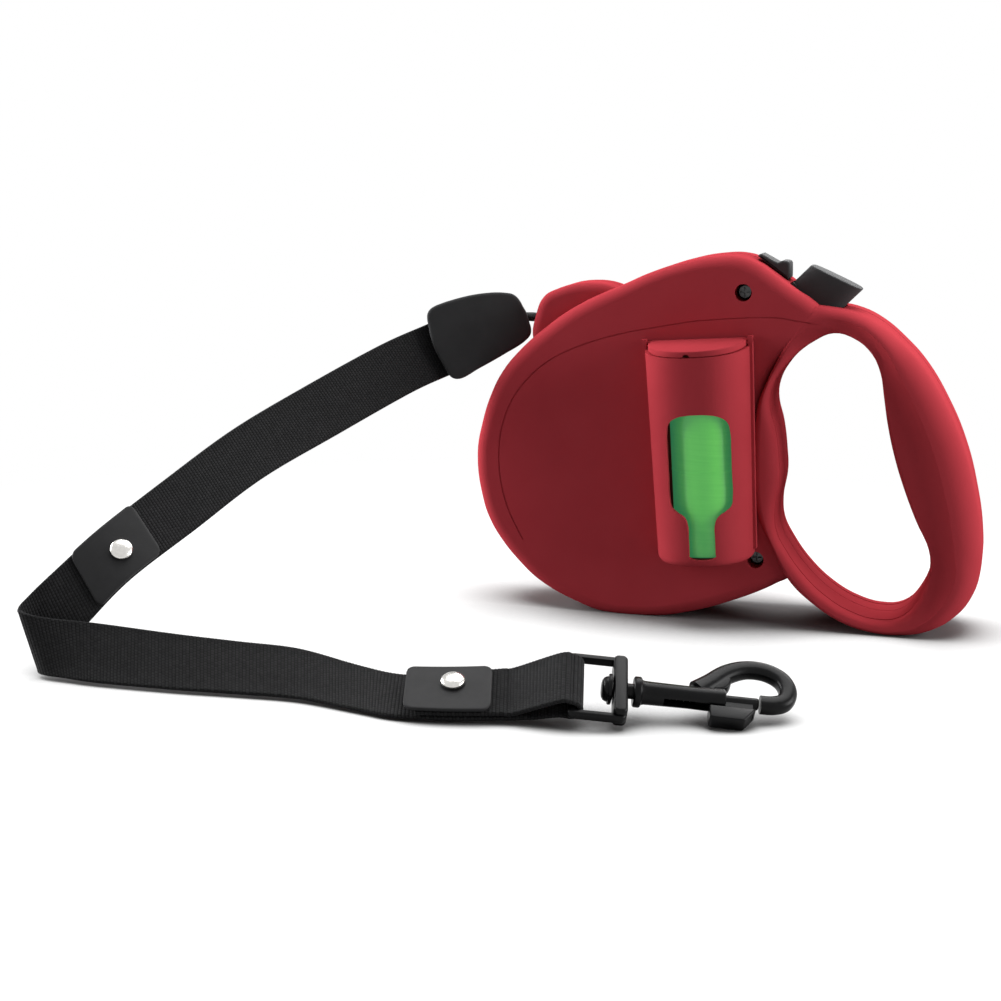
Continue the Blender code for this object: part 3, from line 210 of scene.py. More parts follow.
# finishes made alike: two tones that follow a cloud, and a shine and a relief that follow the cloud or a
# finer grain; cloud and grain are a size in millimetres and a detail, the relief is a strength and a depth
finishSetup = {
    # moulded ABS from a spark-eroded mould: a deep, nearly matt red with a fine speckle in it
    "red_plastic": {"name": "moulded red ABS", "tones": ("#aa373f", "#b33e46"), "cloud": (16, 2.0),
                    "grain": (0.55, 2.0), "rough": ("grain", 0.34, 0.5), "bump": ("grain", 0.25, 0.04),
                    "shader": {"IOR": 1.5, "Specular IOR Level": 0.0}},
    # moulded black ABS: nearly matt, a shade off black, with a faint mould grain
    "black_plastic": {"name": "moulded black ABS", "tones": ("#383839", "#444445"), "cloud": (9, 3.0),
                      "grain": (0.5, 1.0), "rough": ("cloud", 0.38, 0.5), "bump": ("grain", 0.2, 0.03),
                      "shader": {"IOR": 1.5, "Specular IOR Level": 0.01}},
    # bright nickel plate: mirror-like, with hair-fine handling marks
    "nickel": {"name": "bright nickel plate", "tones": ("#c4c2be", "#dcdad6"), "cloud": (0.9, 6.0),
               "rough": ("cloud", 0.14, 0.3), "shader": {"Metallic": 1.0}},
    # cast zinc under a black dip coat: semi-gloss, with the slight orange peel of the dip
    "coated_zinc": {"name": "black coated zinc", "tones": ("#070708", "#0e0e0f"), "cloud": (1.1, 2.0),
                    "rough": ("cloud", 0.24, 0.36), "bump": ("cloud", 0.25, 0.05),
                    "shader": {"IOR": 1.5, "Specular IOR Level": 0.12}},
    # wound polythene film: bright green, glossy, with fine lines round the roll where the layers end; a
    # painted
    # glow: an emission lights the roll from within, and its teal tint stands in for the shade at the roll's
    # edges
    "bag_film": {"name": "wound green film", "tones": ("#5cbd2c", "#70cb40"), "stretch": (0.05, 0.05, 1.0),
                 "cloud": (0.8, 3.0), "bump": ("cloud", 0.15, 0.05),
                 # painted glow: this emission brightens the roll though it is no lamp, and tints its shaded
                 # edges teal
                 "shader": {"Roughness": 0.3, "IOR": 1.5, "Emission Color": linear("#46b578"),
                            "Emission Strength": 0.3}},
    # grey board wound into a tube: matt, with short fibres
    "card": {"name": "grey card", "tones": ("#8f887c", "#aaa294"), "cloud": (0.6, 5.0),
             "shader": {"Roughness": 0.9}},
    # blackened steel: dull grey-black with a cold shine where it is worn
    "steel": {"name": "blackened steel", "tones": ("#3a3b3c", "#5b5c5c"), "cloud": (0.8, 4.0),
              "shader": {"Metallic": 1.0, "Roughness": 0.42}},
    # drawn spring steel: grey metal with a slight blue from tempering
    "spring_steel": {"name": "tempered spring steel", "tones": ("#7d828c", "#a3a39f"), "cloud": (3, 2.0),
                     "shader": {"Metallic": 1.0, "Roughness": 0.3}},
}


def makeFinish(setup):
    look, tree = startLook(setup["name"])
    place = addNode(tree, "ShaderNodeTexCoord").outputs["Object"]
    if "stretch" in setup:
        place = addNode(tree, "ShaderNodeMapping", {"Scale": setup["stretch"]}, {"Vector": place}).outputs[0]
    spread = {}
    for layer in ("cloud", "grain"):
        if layer in setup:
            size, detail = setup[layer]
            spread[layer] = addNode(tree, "ShaderNodeTexNoise", {"Scale": 1 / (size * mm), "Detail": detail},
                                    {"Vector": place}).outputs["Fac"]
    one, two = (linear(tone) for tone in setup["tones"])
    colour = addNode(tree, "ShaderNodeMix", {6: one, 7: two}, {0: spread["cloud"]}, data_type="RGBA")
    links = {"Base Color": colour.outputs[2]}
    if "rough" in setup:
        layer, low, high = setup["rough"]
        links["Roughness"] = addNode(tree, "ShaderNodeMapRange", {"To Min": low, "To Max": high},
                                     {"Value": spread[layer]}).outputs[0]
    if "bump" in setup:
        layer, strength, depth = setup["bump"]
        links["Normal"] = addNode(tree, "ShaderNodeBump", {"Strength": strength, "Distance": depth * mm},
                                  {"Height": spread[layer]}).outputs[0]
    closeLook(tree, setup["shader"], links)
    return look


def makeWebbing():
    # woven nylon: cross ribs one millimetre apart, each a row of short floats, with a dull sheen
    look, tree = startLook("woven black nylon")
    uv = addNode(tree, "ShaderNodeUVMap", uv_map="weave").outputs["UV"]      # millimetres across and along
    weave = addNode(tree, "ShaderNodeTexBrick",
                    {"Scale": 1.0, "Mortar Size": 0.16, "Mortar Smooth": 1.0, "Brick Width": 0.9,
                     "Row Height": 1.0, "Color1": linear("#232324"), "Color2": linear("#2b2b2c"),
                     "Mortar": linear("#0b0b0b")}, {"Vector": uv}, offset=0.5)
    cloud = addNode(tree, "ShaderNodeTexNoise", {"Scale": 1 / 7.0, "Detail": 4.0}, {"Vector": uv})
    dust = addNode(tree, "ShaderNodeMapRange", {"To Min": 0.8, "To Max": 1.15},
                   {"Value": cloud.outputs["Fac"]})
    colour = addNode(tree, "ShaderNodeMix", {0: 1.0}, {6: weave.outputs["Color"], 7: dust.outputs[0]},
                     data_type="RGBA", blend_type="MULTIPLY")
    bump = addNode(tree, "ShaderNodeBump", {"Strength": 0.7, "Distance": 0.12 * mm},
                   {"Height": weave.outputs["Fac"]}, invert=True)
    closeLook(tree, {"Roughness": 0.75, "Sheen Weight": 0.04, "Sheen Roughness": 0.4,
                     "Specular IOR Level": 0.08},
              {"Base Color": colour.outputs[2], "Normal": bump.outputs[0]})
    return look


def makeLeather():
    # smooth black leather: fine pores and soft creases, a low shine
    look, tree = startLook("smooth black leather")
    place = addNode(tree, "ShaderNodeTexCoord").outputs["Object"]
    pores = addNode(tree, "ShaderNodeTexVoronoi", {"Scale": 1 / (0.7 * mm)}, {"Vector": place},
                    feature="DISTANCE_TO_EDGE")
    crease = addNode(tree, "ShaderNodeTexNoise", {"Scale": 1 / (4 * mm), "Detail": 5.0}, {"Vector": place})
    colour = addNode(tree, "ShaderNodeMix", {6: linear("#1c1c1d"), 7: linear("#29292a")},
                     {0: crease.outputs["Fac"]}, data_type="RGBA")
    skin = addNode(tree, "ShaderNodeBump", {"Strength": 0.25, "Distance": 0.05 * mm},
                   {"Height": pores.outputs["Distance"]})
    bump = addNode(tree, "ShaderNodeBump", {"Strength": 0.2, "Distance": 0.15 * mm},
                   {"Height": crease.outputs["Fac"], "Normal": skin.outputs[0]})
    closeLook(tree, {"Roughness": 0.52, "Specular IOR Level": 0.15},
              {"Base Color": colour.outputs[2], "Normal": bump.outputs[0]})
    return look


def makeBraid():
    # braided black polyester cord: short slanted floats, dull
    look, tree = startLook("braided black cord")
    uv = addNode(tree, "ShaderNodeUVMap", uv_map="weave").outputs["UV"]      # millimetres round and along
    slant = addNode(tree, "ShaderNodeMapping", {"Rotation": (0, 0, math.radians(40))}, {"Vector": uv})
    braid = addNode(tree, "ShaderNodeTexBrick",
                    {"Scale": 1.0, "Mortar Size": 0.12, "Mortar Smooth": 1.0, "Brick Width": 1.2,
                     "Row Height": 0.6, "Color1": linear("#1b1b1c"), "Color2": linear("#29292a"),
                     "Mortar": linear("#070707")}, {"Vector": slant.outputs[0]}, offset=0.5)
    bump = addNode(tree, "ShaderNodeBump", {"Strength": 0.8, "Distance": 0.15 * mm},
                   {"Height": braid.outputs["Fac"]}, invert=True)
    closeLook(tree, {"Roughness": 0.75, "Sheen Weight": 0.2},
              {"Base Color": braid.outputs["Color"], "Normal": bump.outputs[0]})
    return look


finishes = {slot: makeFinish(setup) for slot, setup in finishSetup.items()}
finishes.update(webbing=makeWebbing(), leather=makeLeather(), cord=makeBraid())
print("finishes are made")


# shared modelling steps

def makePiece(name, bm, node, body, smoothAngle=None):
    # a piece in place of a node, from a bmesh in world metres, smooth but for edges sharper than the angle
    mesh = bpy.data.meshes.new(name)
    for edge in bm.edges:
        edge.smooth = smoothAngle is None or edge.calc_face_angle(math.pi) < math.radians(smoothAngle)
    for face in bm.faces:
        face.smooth = True
    bm.to_mesh(mesh)
    bm.free()
    mesh.materials.append(finishes[slotOf[node]])
    piece = addObject(name, mesh)
    if body:
        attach(piece, body)
    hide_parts(node)
    return piece


def arc(steps, whole=2 * math.pi):
    # angles at even steps, both ends included
    return [whole * i / steps for i in range(steps + 1)]


def squarish(angle, power):
    # a point on a unit circle that is pulled out towards its corners
    return [math.copysign(abs(v) ** power, v) for v in (math.cos(angle), math.sin(angle))]


def between(value, low, high):
    # 0 below the low value, 1 above the high one, smooth in between
    t = min(1.0, max(0.0, (value - low) / (high - low)))
    return t * t * (3 - 2 * t)


def chord(points, n):
    # from the point before to the point after
    return points[min(n + 1, len(points) - 1)] - points[max(n - 1, 0)]


def onCurve(knots, position):
    # Catmull-Rom through the knots; a knot is a vector or a tuple of vectors
    i = min(int(position), len(knots) - 2)
    t = position - i
    four = [knots[max(0, i - 1)], knots[i], knots[i + 1], knots[min(len(knots) - 1, i + 2)]]

    def through(p0, p1, p2, p3):
        return 0.5 * (2 * p1 + (p2 - p0) * t + (2 * p0 - 5 * p1 + 4 * p2 - p3) * t ** 2
                      + (3 * p1 - p0 - 3 * p2 + p3) * t ** 3)
    if isinstance(four[0], tuple):
        return tuple(through(*side) for side in zip(*four))
    return through(*four)


def fineLine(knots, steps):
    # points on the curve, so many steps from knot to knot
    return [onCurve(knots, i / steps) for i in range(steps * (len(knots) - 1) + 1)]


def runAlong(points):
    # how far along the line each point is
    run = [0.0]
    for one, two in zip(points, points[1:]):
        run.append(run[-1] + (two - one).length)
    return run


def loft(rows, uvOf=None, closed=False, bm=None):
    # a skin over rows of points, with capped ends unless it closes on itself; the faces are made one by one,
    # because a bridge may pair other points and each corner may carry a uv in millimetres
    bm = bmesh.new() if bm is None else bm
    rings = [[bm.verts.new(p) for p in row] for row in rows]
    if closed:
        rings.append(rings[0])
    layer = bm.loops.layers.uv.new("weave") if uvOf else None
    for number, (one, two) in enumerate(zip(rings, rings[1:])):
        for i in range(len(one)):
            j = (i + 1) % len(one)
            face = bm.faces.new((one[i], one[j], two[j], two[i]))
            if layer:
                corners = ((number, i), (number, i + 1), (number + 1, i + 1), (number + 1, i))
                for loop, (row, side) in zip(face.loops, corners):
                    loop[layer].uv = uvOf(row, side)
    if not closed:
        for ring, order in ((rings[0], -1), (rings[-1], 1)):
            bm.faces.new(ring[::order])
    bmesh.ops.recalc_face_normals(bm, faces=bm.faces)
    return bm


anySide = Vector((0.1, 1.0, 0.3))        # a direction that no wire runs along


def sweptTube(points, radius, sides, bm=None):
    # a round wire through points in metres; the uv runs round and along in millimetres
    rows, run, side = [], runAlong(points), anySide
    radius = radius * mm
    for n, p in enumerate(points):
        along = chord(points, n).normalized()
        side = (side - along * side.dot(along)).normalized()
        up = along.cross(side)
        rows.append([p + (side * math.cos(a) + up * math.sin(a)) * radius for a in arc(sides)[:-1]])
    around = 2 * math.pi * radius / mm
    return loft(rows, lambda row, i: (around * i / sides, run[row] / mm), bm=bm)


def smoothLine(points, steps=5):
    # closed smooth line through the points, in metres
    data = bpy.data.curves.new("line", "CURVE")
    data.dimensions, data.fill_mode, data.resolution_u = "2D", "NONE", steps
    spline = data.splines.new("BEZIER")
    spline.bezier_points.add(len(points) - 1)
    for knot, (x, z) in zip(spline.bezier_points, points):
        knot.co = (x, z, 0)
        knot.handle_left_type = knot.handle_right_type = "AUTO"
    spline.use_cyclic_u = True
    item = addObject("line", data)
    mesh = bpy.data.meshes.new_from_object(item.evaluated_get(bpy.context.evaluated_depsgraph_get()))
    line = [(v.co.x * mm, v.co.y * mm) for v in mesh.vertices]
    bpy.data.objects.remove(item)
    bpy.data.curves.remove(data)
    bpy.data.meshes.remove(mesh)
    return line


def stripLine(points, width, steps=6):
    # outline of a thin strip along a smooth open line
    fine = fineLine([Vector(p) for p in points], steps)
    sides = ([], [])
    for i, p in enumerate(fine):
        way = chord(fine, i).normalized()
        across = Vector((-way.y, way.x)) * width / 2
        sides[0].append(tuple((p + across) * mm))
        sides[1].append(tuple((p - across) * mm))
    return sides[0] + sides[1][::-1]


def roundedLine(left, right, low, high, corner, steps=5):
    # rectangle with round corners, in metres
    line = []
    for x, y, start in ((right, high, 0), (left, high, 90), (left, low, 180), (right, low, 270)):
        x -= math.copysign(corner, x - (left + right) / 2)
        y -= math.copysign(corner, y - (low + high) / 2)
        for i in range(steps + 1):
            angle = math.radians(start + 90 * i / steps)
            line.append((x + corner * math.cos(angle), y + corner * math.sin(angle)))
    return inMetres(line)


def inMetres(points):
    return [(x * mm, z * mm) for x, z in points]


def flatLine(points):
    return [(p.x, p.z) for p in points]


def slab(line, low, high, lowRim=0.0, highRim=0.0, segments=6):
    # an XZ line drawn out along Y in millimetres, with its two ends rounded
    bm = bmesh.new()
    face = bm.faces.new([bm.verts.new((x, high * mm, z)) for x, z in line])
    grown = bmesh.ops.extrude_face_region(bm, geom=[face])["geom"]
    bmesh.ops.translate(bm, verts=[v for v in grown if isinstance(v, bmesh.types.BMVert)],
                        vec=(0, (low - high) * mm, 0))
    bmesh.ops.recalc_face_normals(bm, faces=bm.faces)
    for level, rim in ((low, lowRim), (high, highRim)):
        if rim:
            edges = [e for e in bm.edges if all(abs(v.co.y - level * mm) < 1e-7 for v in e.verts)]
            bmesh.ops.bevel(bm, geom=edges, offset=rim * mm, offset_type="OFFSET", segments=segments,
                            profile=0.5, affect="EDGES", material=-1)
    return bm


def plate(line, half, rim, segments):
    return slab(line, -half, half, rim, rim, segments)


def rodBetween(start, end, radius, sides=48):
    along = end - start
    bm = bmesh.new()
    bmesh.ops.create_cone(bm, cap_ends=True, segments=sides, radius1=radius * mm, radius2=radius * mm,
                          depth=along.length)
    turn = Vector((0, 0, 1)).rotation_difference(along).to_matrix().to_4x4()
    return moved(bm, Matrix.Translation((start + end) / 2) @ turn)


def block(low, high):
    low, high = at(*low), at(*high)
    bm = bmesh.new()
    bmesh.ops.create_cube(bm, size=1.0)
    bmesh.ops.scale(bm, verts=bm.verts, vec=high - low)
    bmesh.ops.translate(bm, verts=bm.verts, vec=(low + high) / 2)
    return bm


def turned(profile, place, steps=48):
    # a closed line of radius and height in millimetres, spun about local Z and put in place
    bm = bmesh.new()
    verts = [bm.verts.new((radius * mm, 0, height * mm)) for radius, height in profile]
    pairs = zip(verts, verts[1:] + verts[:1])
    edges = [bm.edges.new(pair) for pair in pairs if pair[0].co.x or pair[1].co.x]
    bmesh.ops.spin(bm, geom=verts + edges, cent=(0, 0, 0), axis=(0, 0, 1), angle=2 * math.pi, steps=steps,
                   use_merge=True)
    bmesh.ops.remove_doubles(bm, verts=bm.verts, dist=1e-7)
    bmesh.ops.dissolve_degenerate(bm, edges=bm.edges, dist=1e-7)
    moved(bm, place)
    bmesh.ops.recalc_face_normals(bm, faces=bm.faces)
    return bm


def moved(bm, place):
    bmesh.ops.transform(bm, verts=bm.verts, matrix=place)
    return bm


def aligned(origin, xAxis, yAxis):
    first = xAxis.normalized()
    third = first.cross(yAxis).normalized()
    turn = Matrix((first, third.cross(first), third)).transposed()
    return Matrix.Translation(origin) @ turn.to_4x4()


def carve(bm, tool, operation="DIFFERENCE"):
    # boolean of two closed shapes; both are used up
    pair = []
    for source in (bm, tool):
        mesh = bpy.data.meshes.new("step")
        source.to_mesh(mesh)
        source.free()
        pair.append(addObject("step", mesh))
    step = pair[0].modifiers.new("step", "BOOLEAN")
    step.operation, step.solver, step.object = operation, "EXACT", pair[1]
    mesh = bpy.data.meshes.new_from_object(pair[0].evaluated_get(bpy.context.evaluated_depsgraph_get()))
    result = bmesh.new()
    result.from_mesh(mesh)
    bpy.data.meshes.remove(mesh)
    for item in pair:
        data = item.data
        bpy.data.objects.remove(item)
        bpy.data.meshes.remove(data)
    bmesh.ops.remove_doubles(result, verts=result.verts, dist=2e-6)
    return result


def unite(bm, tool):
    return carve(bm, tool, "UNION")


def eased(piece, width, segments=3, angle=40):
    # small rounding of every sharp edge, as a mould leaves it
    bevel = piece.modifiers.new("eased edges", "BEVEL")
    bevel.width, bevel.segments, bevel.limit_method = width * mm, segments, "ANGLE"
    bevel.angle_limit, bevel.profile, bevel.material = math.radians(angle), 0.5, -1
    bevel.harden_normals = True


# button, and holder with its roll: the case makes room for them
buttonSetup = {"place": (49.55, 0.0, 104.25), "press": (-0.695, 0.0, -0.719), "across": (0.719, 0.0, -0.695),
               "half": 8.3, "top": -8.4, "low": 3.0, "tilt": 0.37, "halfY": 6.5, "travel": 4.0, "gap": 0.35}
holderSetup = {"foot": (19.2, -16.0, 55.0), "up": (-0.08, 0.0, 0.9968), "side": (0.9968, 0.0, 0.08),
               "low": -34.0, "high": 33.5, "half": 15.9, "flare": 0.02, "shift": -1.7, "depth": 17.0,
               "wall": 1.6, "squareness": 0.85, "steps": 56, "thinnest": 0.2, "lidSlope": 8.0,
               "rollRadius": 11.0, "rollLow": -31.2, "rollHigh": 28.5, "rollY": -20.0}
# rooms round the roll, by what they are wider and longer than it
rollCup = {"out": 2.4, "below": 3.0, "above": 2.0}
rollPocket = {"out": 0.6, "below": 0.3, "above": 0.0}


def buttonPoint(depth, across, y=0.0):
    b = buttonSetup
    return (Vector(b["place"]) + Vector(b["press"]) * depth + Vector(b["across"]) * across
            + Vector((0, y, 0))) * mm


def buttonOutline(clear, sink):
    b = buttonSetup
    half, top, low = b["half"] + clear, b["top"] - sink, b["low"] + sink + clear
    lean = b["tilt"] * half
    corners = [(top + lean, -half), (top - lean, half), (low - lean, half), (low + lean, -half)]
    return flatLine(buttonPoint(depth, across) for depth, across in corners)


def holderPoint(side, depth, up):
    h = holderSetup
    return (Vector(h["foot"]) + Vector(h["side"]) * side + Vector((0, -depth, 0)) + Vector(h["up"]) * up) * mm


def rollRod(room):
    h = holderSetup
    shift = at(0, h["rollY"] - h["foot"][1], 0)
    ends = (h["rollLow"] - room["below"], h["high"] + room["above"])
    low, high = (holderPoint(0, 0, up) + shift for up in ends)
    return rodBetween(low, high, h["rollRadius"] + room["out"])


# case: outlines in millimetres, seen from the holder's side, as X and Z
caseSetup = {
    "disc": [(-12.9, -0.6), (0, -0.9), (17.3, 2.7), (29.1, 7), (36.6, 10.4), (42.0, 13.4), (46.4, 16.6),
             (45.8, 20), (42.4, 25.4), (37.6, 37), (36, 53), (34.6, 68), (37.5, 80), (42.8, 88.6),
             (47.6, 93.6), (51.2, 97.2), (51.4, 100.6), (48.4, 103.6), (44.2, 106.1), (40.4, 108.7),
             (36.4, 111.5), (31.5, 114.5), (26, 116.2), (18, 116), (8.5, 114), (-2, 110.3), (-9, 107),
             (-25.5, 98.9), (-36, 91.2), (-43.8, 84), (-49.5, 76.8), (-53.2, 69.2), (-55.9, 60.2),
             (-57.5, 49.5), (-55.2, 34), (-52.7, 27.5), (-48.5, 21), (-42.9, 14.7), (-35.7, 8.5), (-24, 2.7)],
    "nozzle": [(-40.8, 87.1), (-40.0, 95.3), (-37.6, 101), (-33.9, 103.4), (-23.3, 106.1), (-13, 104.6),
               (-6, 100), (-8, 92), (-18, 86), (-30, 82.5), (-38, 82.6)],
    "brakeRoom": [(10, 70), (31, 66), (35.5, 80.5), (44.6, 90.6), (49.6, 98.4), (39.5, 103.9), (31, 110.4),
                  (24, 113.2), (10, 108), (0, 95)],
    "lockSlot": [(39.6, 112.6), (42.8, 101), (34.0, 100), (30.2, 116.7)], "lockSlotY": (-3.3, -0.5),
    "panelLine": [(-40.7, 22.4), (-46.3, 33.4), (-49.1, 45.5), (-48.6, 58.4), (-43.7, 70.7), (-32.6, 81.9),
                  (-14.4, 89.8), (8.3, 95.0), (19.8, 96.7), (36.7, 98.0), (45, 97.2), (52.7, 96.2)],
    "lineWidth": 0.4, "lineDepth": 0.22,
    "discHalf": 16.0, "discRim": 4.3, "rimSteps": 8, "nozzleHalf": 9.5, "nozzleRim": 3.0, "inner": 13.5,
    "seam": 2.0, "seamGap": 0.12, "seamLip": 0.55, "seamStep": 0.03,
    "underFloor": ((-100, -100, -100), (200, 100, 0)), "cupSpace": ((-100, -14.5, -100), (100, 100, 200)),
    "reel": (-9.5, 55.5), "reelRoom": 40.6,
    # bores as where they end and their radius
    "screws": [(28.0, 105.3), (35.3, 21.2)], "screwMouth": -30, "screwBores": [(-9.0, 2.7), (11.3, 1.6)],
    "bossRadius": 4.0, "bossEnd": 14.5, "bossGap": 0.05,
    "cordHeight": 93.7, "cordMouth": -60, "cordBores": [(-20, 2.4), (-35.9, 3.9)],
}
handleSetup = {
    "outer": [(42.6, 92.6), (39.8, 86), (36.6, 78.5), (33.3, 69), (32, 54), (33.6, 38.9), (39.8, 26.4),
              (45.7, 15.6), (53.3, 8.6), (62.9, 3), (71.5, 0.6), (80, 0.2), (90, 2.0), (97.5, 6.5),
              (102.3, 13), (104.6, 22), (104.4, 31), (101.6, 46), (97.3, 60), (91.4, 72.5), (84, 84),
              (77.3, 91), (69, 97.4), (61.5, 100.5), (55, 101.4), (49.4, 101.6), (44.8, 98.8)],
    "hole": [(44.8, 86.5), (40.5, 81.5), (37.6, 75.5), (37.2, 70), (39.4, 62), (40.8, 53), (41.3, 46.5),
             (40.2, 37), (41, 30), (44.3, 24), (50.6, 16), (57.8, 9.8), (66, 5.5), (74, 3.8), (81, 5.2),
             (86.4, 11.5), (89, 20), (88.8, 27), (84, 37), (80, 46.5), (76.8, 55.5), (74, 66), (72.3, 75),
             (70.8, 82.5), (67.5, 88.5), (62, 92.4), (56, 93.6), (50, 90.8)],
    "half": 17.5, "middle": (61, 50), "stations": 168, "holeLip": 0.1,
    # from the hole's wall outwards: millimetres, a share of the width, and the depth below the highest line;
    # the near limb has a fine crease in its wall and a flat face, the far limb a hollow face up to a crest
    "near": [(0, 0, 7.4), (0.4, 0, 7.1), (0.4, 0, 6.7), (0, 0, 6.4), (0, 0, 4.4), (0, 0.03, 3.0),
             (0, 0.09, 2.0), (0, 0.18, 1.25), (0, 0.3, 0.75), (0, 0.44, 0.45), (0, 0.58, 0.32)],
    "far": [(0, 0, 7.4), (0, 0, 7.1), (0, 0, 6.7), (0, 0, 6.4), (0, 0, 4.4), (0, 0.01, 3.4), (0, 0.03, 2.7),
            (0, 0.06, 2.35), (0, 0.12, 2.4), (0, 0.3, 2.3), (0, 0.48, 1.2)],
    "rimSteps": 9, "nearRim": 0.38, "nearTop": 0.3, "nearFall": 3.2, "farCrest": 0.58, "farRim": 0.42,
    "farFall": 7.5,
    # where near turns to far, and where the band is lowered to lie flush with the disc
    "farX": (52, 72), "farZ": (4, 20), "flushZ": (86, 95), "flushX": (56, 70), "flushDrop": 1.15,
}


def rayMeets(line, middle, way):
    # how far from the middle a ray leaves a closed line
    best = None
    for a, b in zip(line, line[1:] + line[:1]):
        a, b = Vector(a) - middle, Vector(b) - middle
        turn = way.x * (b - a).y - way.y * (b - a).x
        if abs(turn) < 1e-12:
            continue
        reach = (a.x * (b - a).y - a.y * (b - a).x) / turn
        share = (a.x * way.y - a.y * way.x) / turn
        if reach > 0 and -1e-9 <= share <= 1 + 1e-9:
            best = reach if best is None else max(best, reach)
    return best


def handleProfile(setup, width, right):
    # from the hole's wall to the outer wall, as reach and depth
    near, far = ([(fixed + share * width, drop) for fixed, share, drop in setup[limb]]
                 for limb in ("near", "far"))
    rim = setup["nearRim"] * width
    for angle in arc(setup["rimSteps"], math.pi / 2):
        out, fall = math.sin(angle), 1 - math.cos(angle)
        near.append((width - rim + rim * out, setup["nearTop"] + setup["nearFall"] * fall))
        far.append((width * (setup["farCrest"] + setup["farRim"] * out), setup["farFall"] * fall))
    return [(a[0] + (b[0] - a[0]) * right, a[1] + (b[1] - a[1]) * right) for a, b in zip(near, far)]


def makeHandle(setup, side, seam, lip):
    # half of the band, lofted round the finger hole from the seam to one face
    outer, inner = smoothLine(setup["outer"]), smoothLine(setup["hole"])
    middle, fine = at(*setup["middle"]), setup["holeLip"] * lip
    rows = []
    for angle in arc(setup["stations"])[:-1]:
        way = Vector((math.cos(angle), math.sin(angle)))
        near, far = rayMeets(inner, middle, way), rayMeets(outer, middle, way)
        edge, rim = (middle + way * near) / mm, (middle + way * far) / mm
        width = (far - near) / mm
        right = between(edge.x, *setup["farX"]) * between(edge.y, *setup["farZ"])
        flush = between(rim.y, *setup["flushZ"]) * (1 - between(rim.x, *setup["flushX"]))
        half = setup["half"] - setup["flushDrop"] * flush
        points = [(fine, seam), (0, seam + side * fine)]
        points += [(reach, side * (half - drop)) for reach, drop in handleProfile(setup, width, right)]
        points += [(width, seam + side * lip), (width - lip, seam)]
        spots = [(edge + way * reach, y) for reach, y in points]
        rows.append([at(p.x, y, p.y) for p, y in spots])
    return loft(rows, closed=True)


def makeDisc(setup, side, seam):
    # half of the disc, its rim rounded towards the reel's middle, which keeps tight corners clean
    half, rim, lip = setup["discHalf"], setup["discRim"], setup["seamLip"]
    middle = at(*setup["reel"])
    outs = [Vector(point) - middle for point in smoothLine(setup["disc"])]
    levels = [(lip, seam), (0.0, seam + side * lip)]
    for angle in arc(setup["rimSteps"], math.pi / 2):
        levels.append((rim * (1 - math.cos(angle)), side * (half - rim + rim * math.sin(angle))))
    rows = []
    for inset, y in levels:
        spots = [middle + out * (1 - inset * mm / out.length) for out in outs]
        rows.append([(p.x, y * mm, p.y) for p in spots])
    return loft(rows)


def makeShell(setup, side):
    # one half of the case: side -1 is the holder's, 1 the back
    half, inner, lip, rim = (setup[key] for key in ("discHalf", "inner", "seamLip", "nozzleRim"))
    seam, step = setup["seam"] + side * setup["seamGap"] / 2, side * setup["seamStep"]
    # the three bodies meet the seam at slightly different depths, so that no two faces lie in one plane
    body = makeDisc(setup, side, seam)
    ends = sorted((side * setup["nozzleHalf"], seam + step))
    rims = (rim, lip) if side < 0 else (lip, rim)
    body = unite(body, slab(smoothLine(setup["nozzle"]), *ends, *rims, segments=7))
    body = unite(body, makeHandle(handleSetup, side, seam + 2 * step, lip))
    body = carve(body, block(*setup["underFloor"]))
    x, z = setup["reel"]
    body = carve(body, rodBetween(at(x, -inner, z), at(x, inner, z), setup["reelRoom"], 96))
    body = carve(body, slab(inMetres(setup["brakeRoom"]), -inner, inner))
    if side < 0:
        line = stripLine(setup["panelLine"], setup["lineWidth"])
        body = carve(body, slab(line, -half - 1, -half + setup["lineDepth"]))
        body = unite(body, carve(rollRod(rollCup), block(*setup["cupSpace"]), "INTERSECT"))
        body = carve(body, rollRod(rollPocket))
    for x, z in setup["screws"]:
        boss = sorted((side * setup["bossEnd"], seam + side * setup["bossGap"]))
        body = unite(body, rodBetween(*(at(x, y, z) for y in boss), setup["bossRadius"]))
        for end, radius in setup["screwBores"]:
            body = carve(body, rodBetween(at(x, setup["screwMouth"], z), at(x, end, z), radius))
    height = setup["cordHeight"]
    for end, radius in setup["cordBores"]:
        body = carve(body, rodBetween(at(setup["cordMouth"], 0, height), at(end, 0, height), radius))
    b = buttonSetup
    well = b["halfY"] + b["gap"]
    body = carve(body, slab(buttonOutline(b["gap"], b["travel"]), -well, well))
    return carve(body, slab(inMetres(setup["lockSlot"]), *setup["lockSlotY"]))


def makeCase(setup):
    for node, side in (("case_front", -1), ("case_back", 1)):
        piece = makePiece(node + "_shell", makeShell(setup, side), node, "case", 32)
        piece.modifiers.new("even", "WEIGHTED_NORMAL").keep_sharp = True


makeCase(caseSetup)
print("case is moulded")


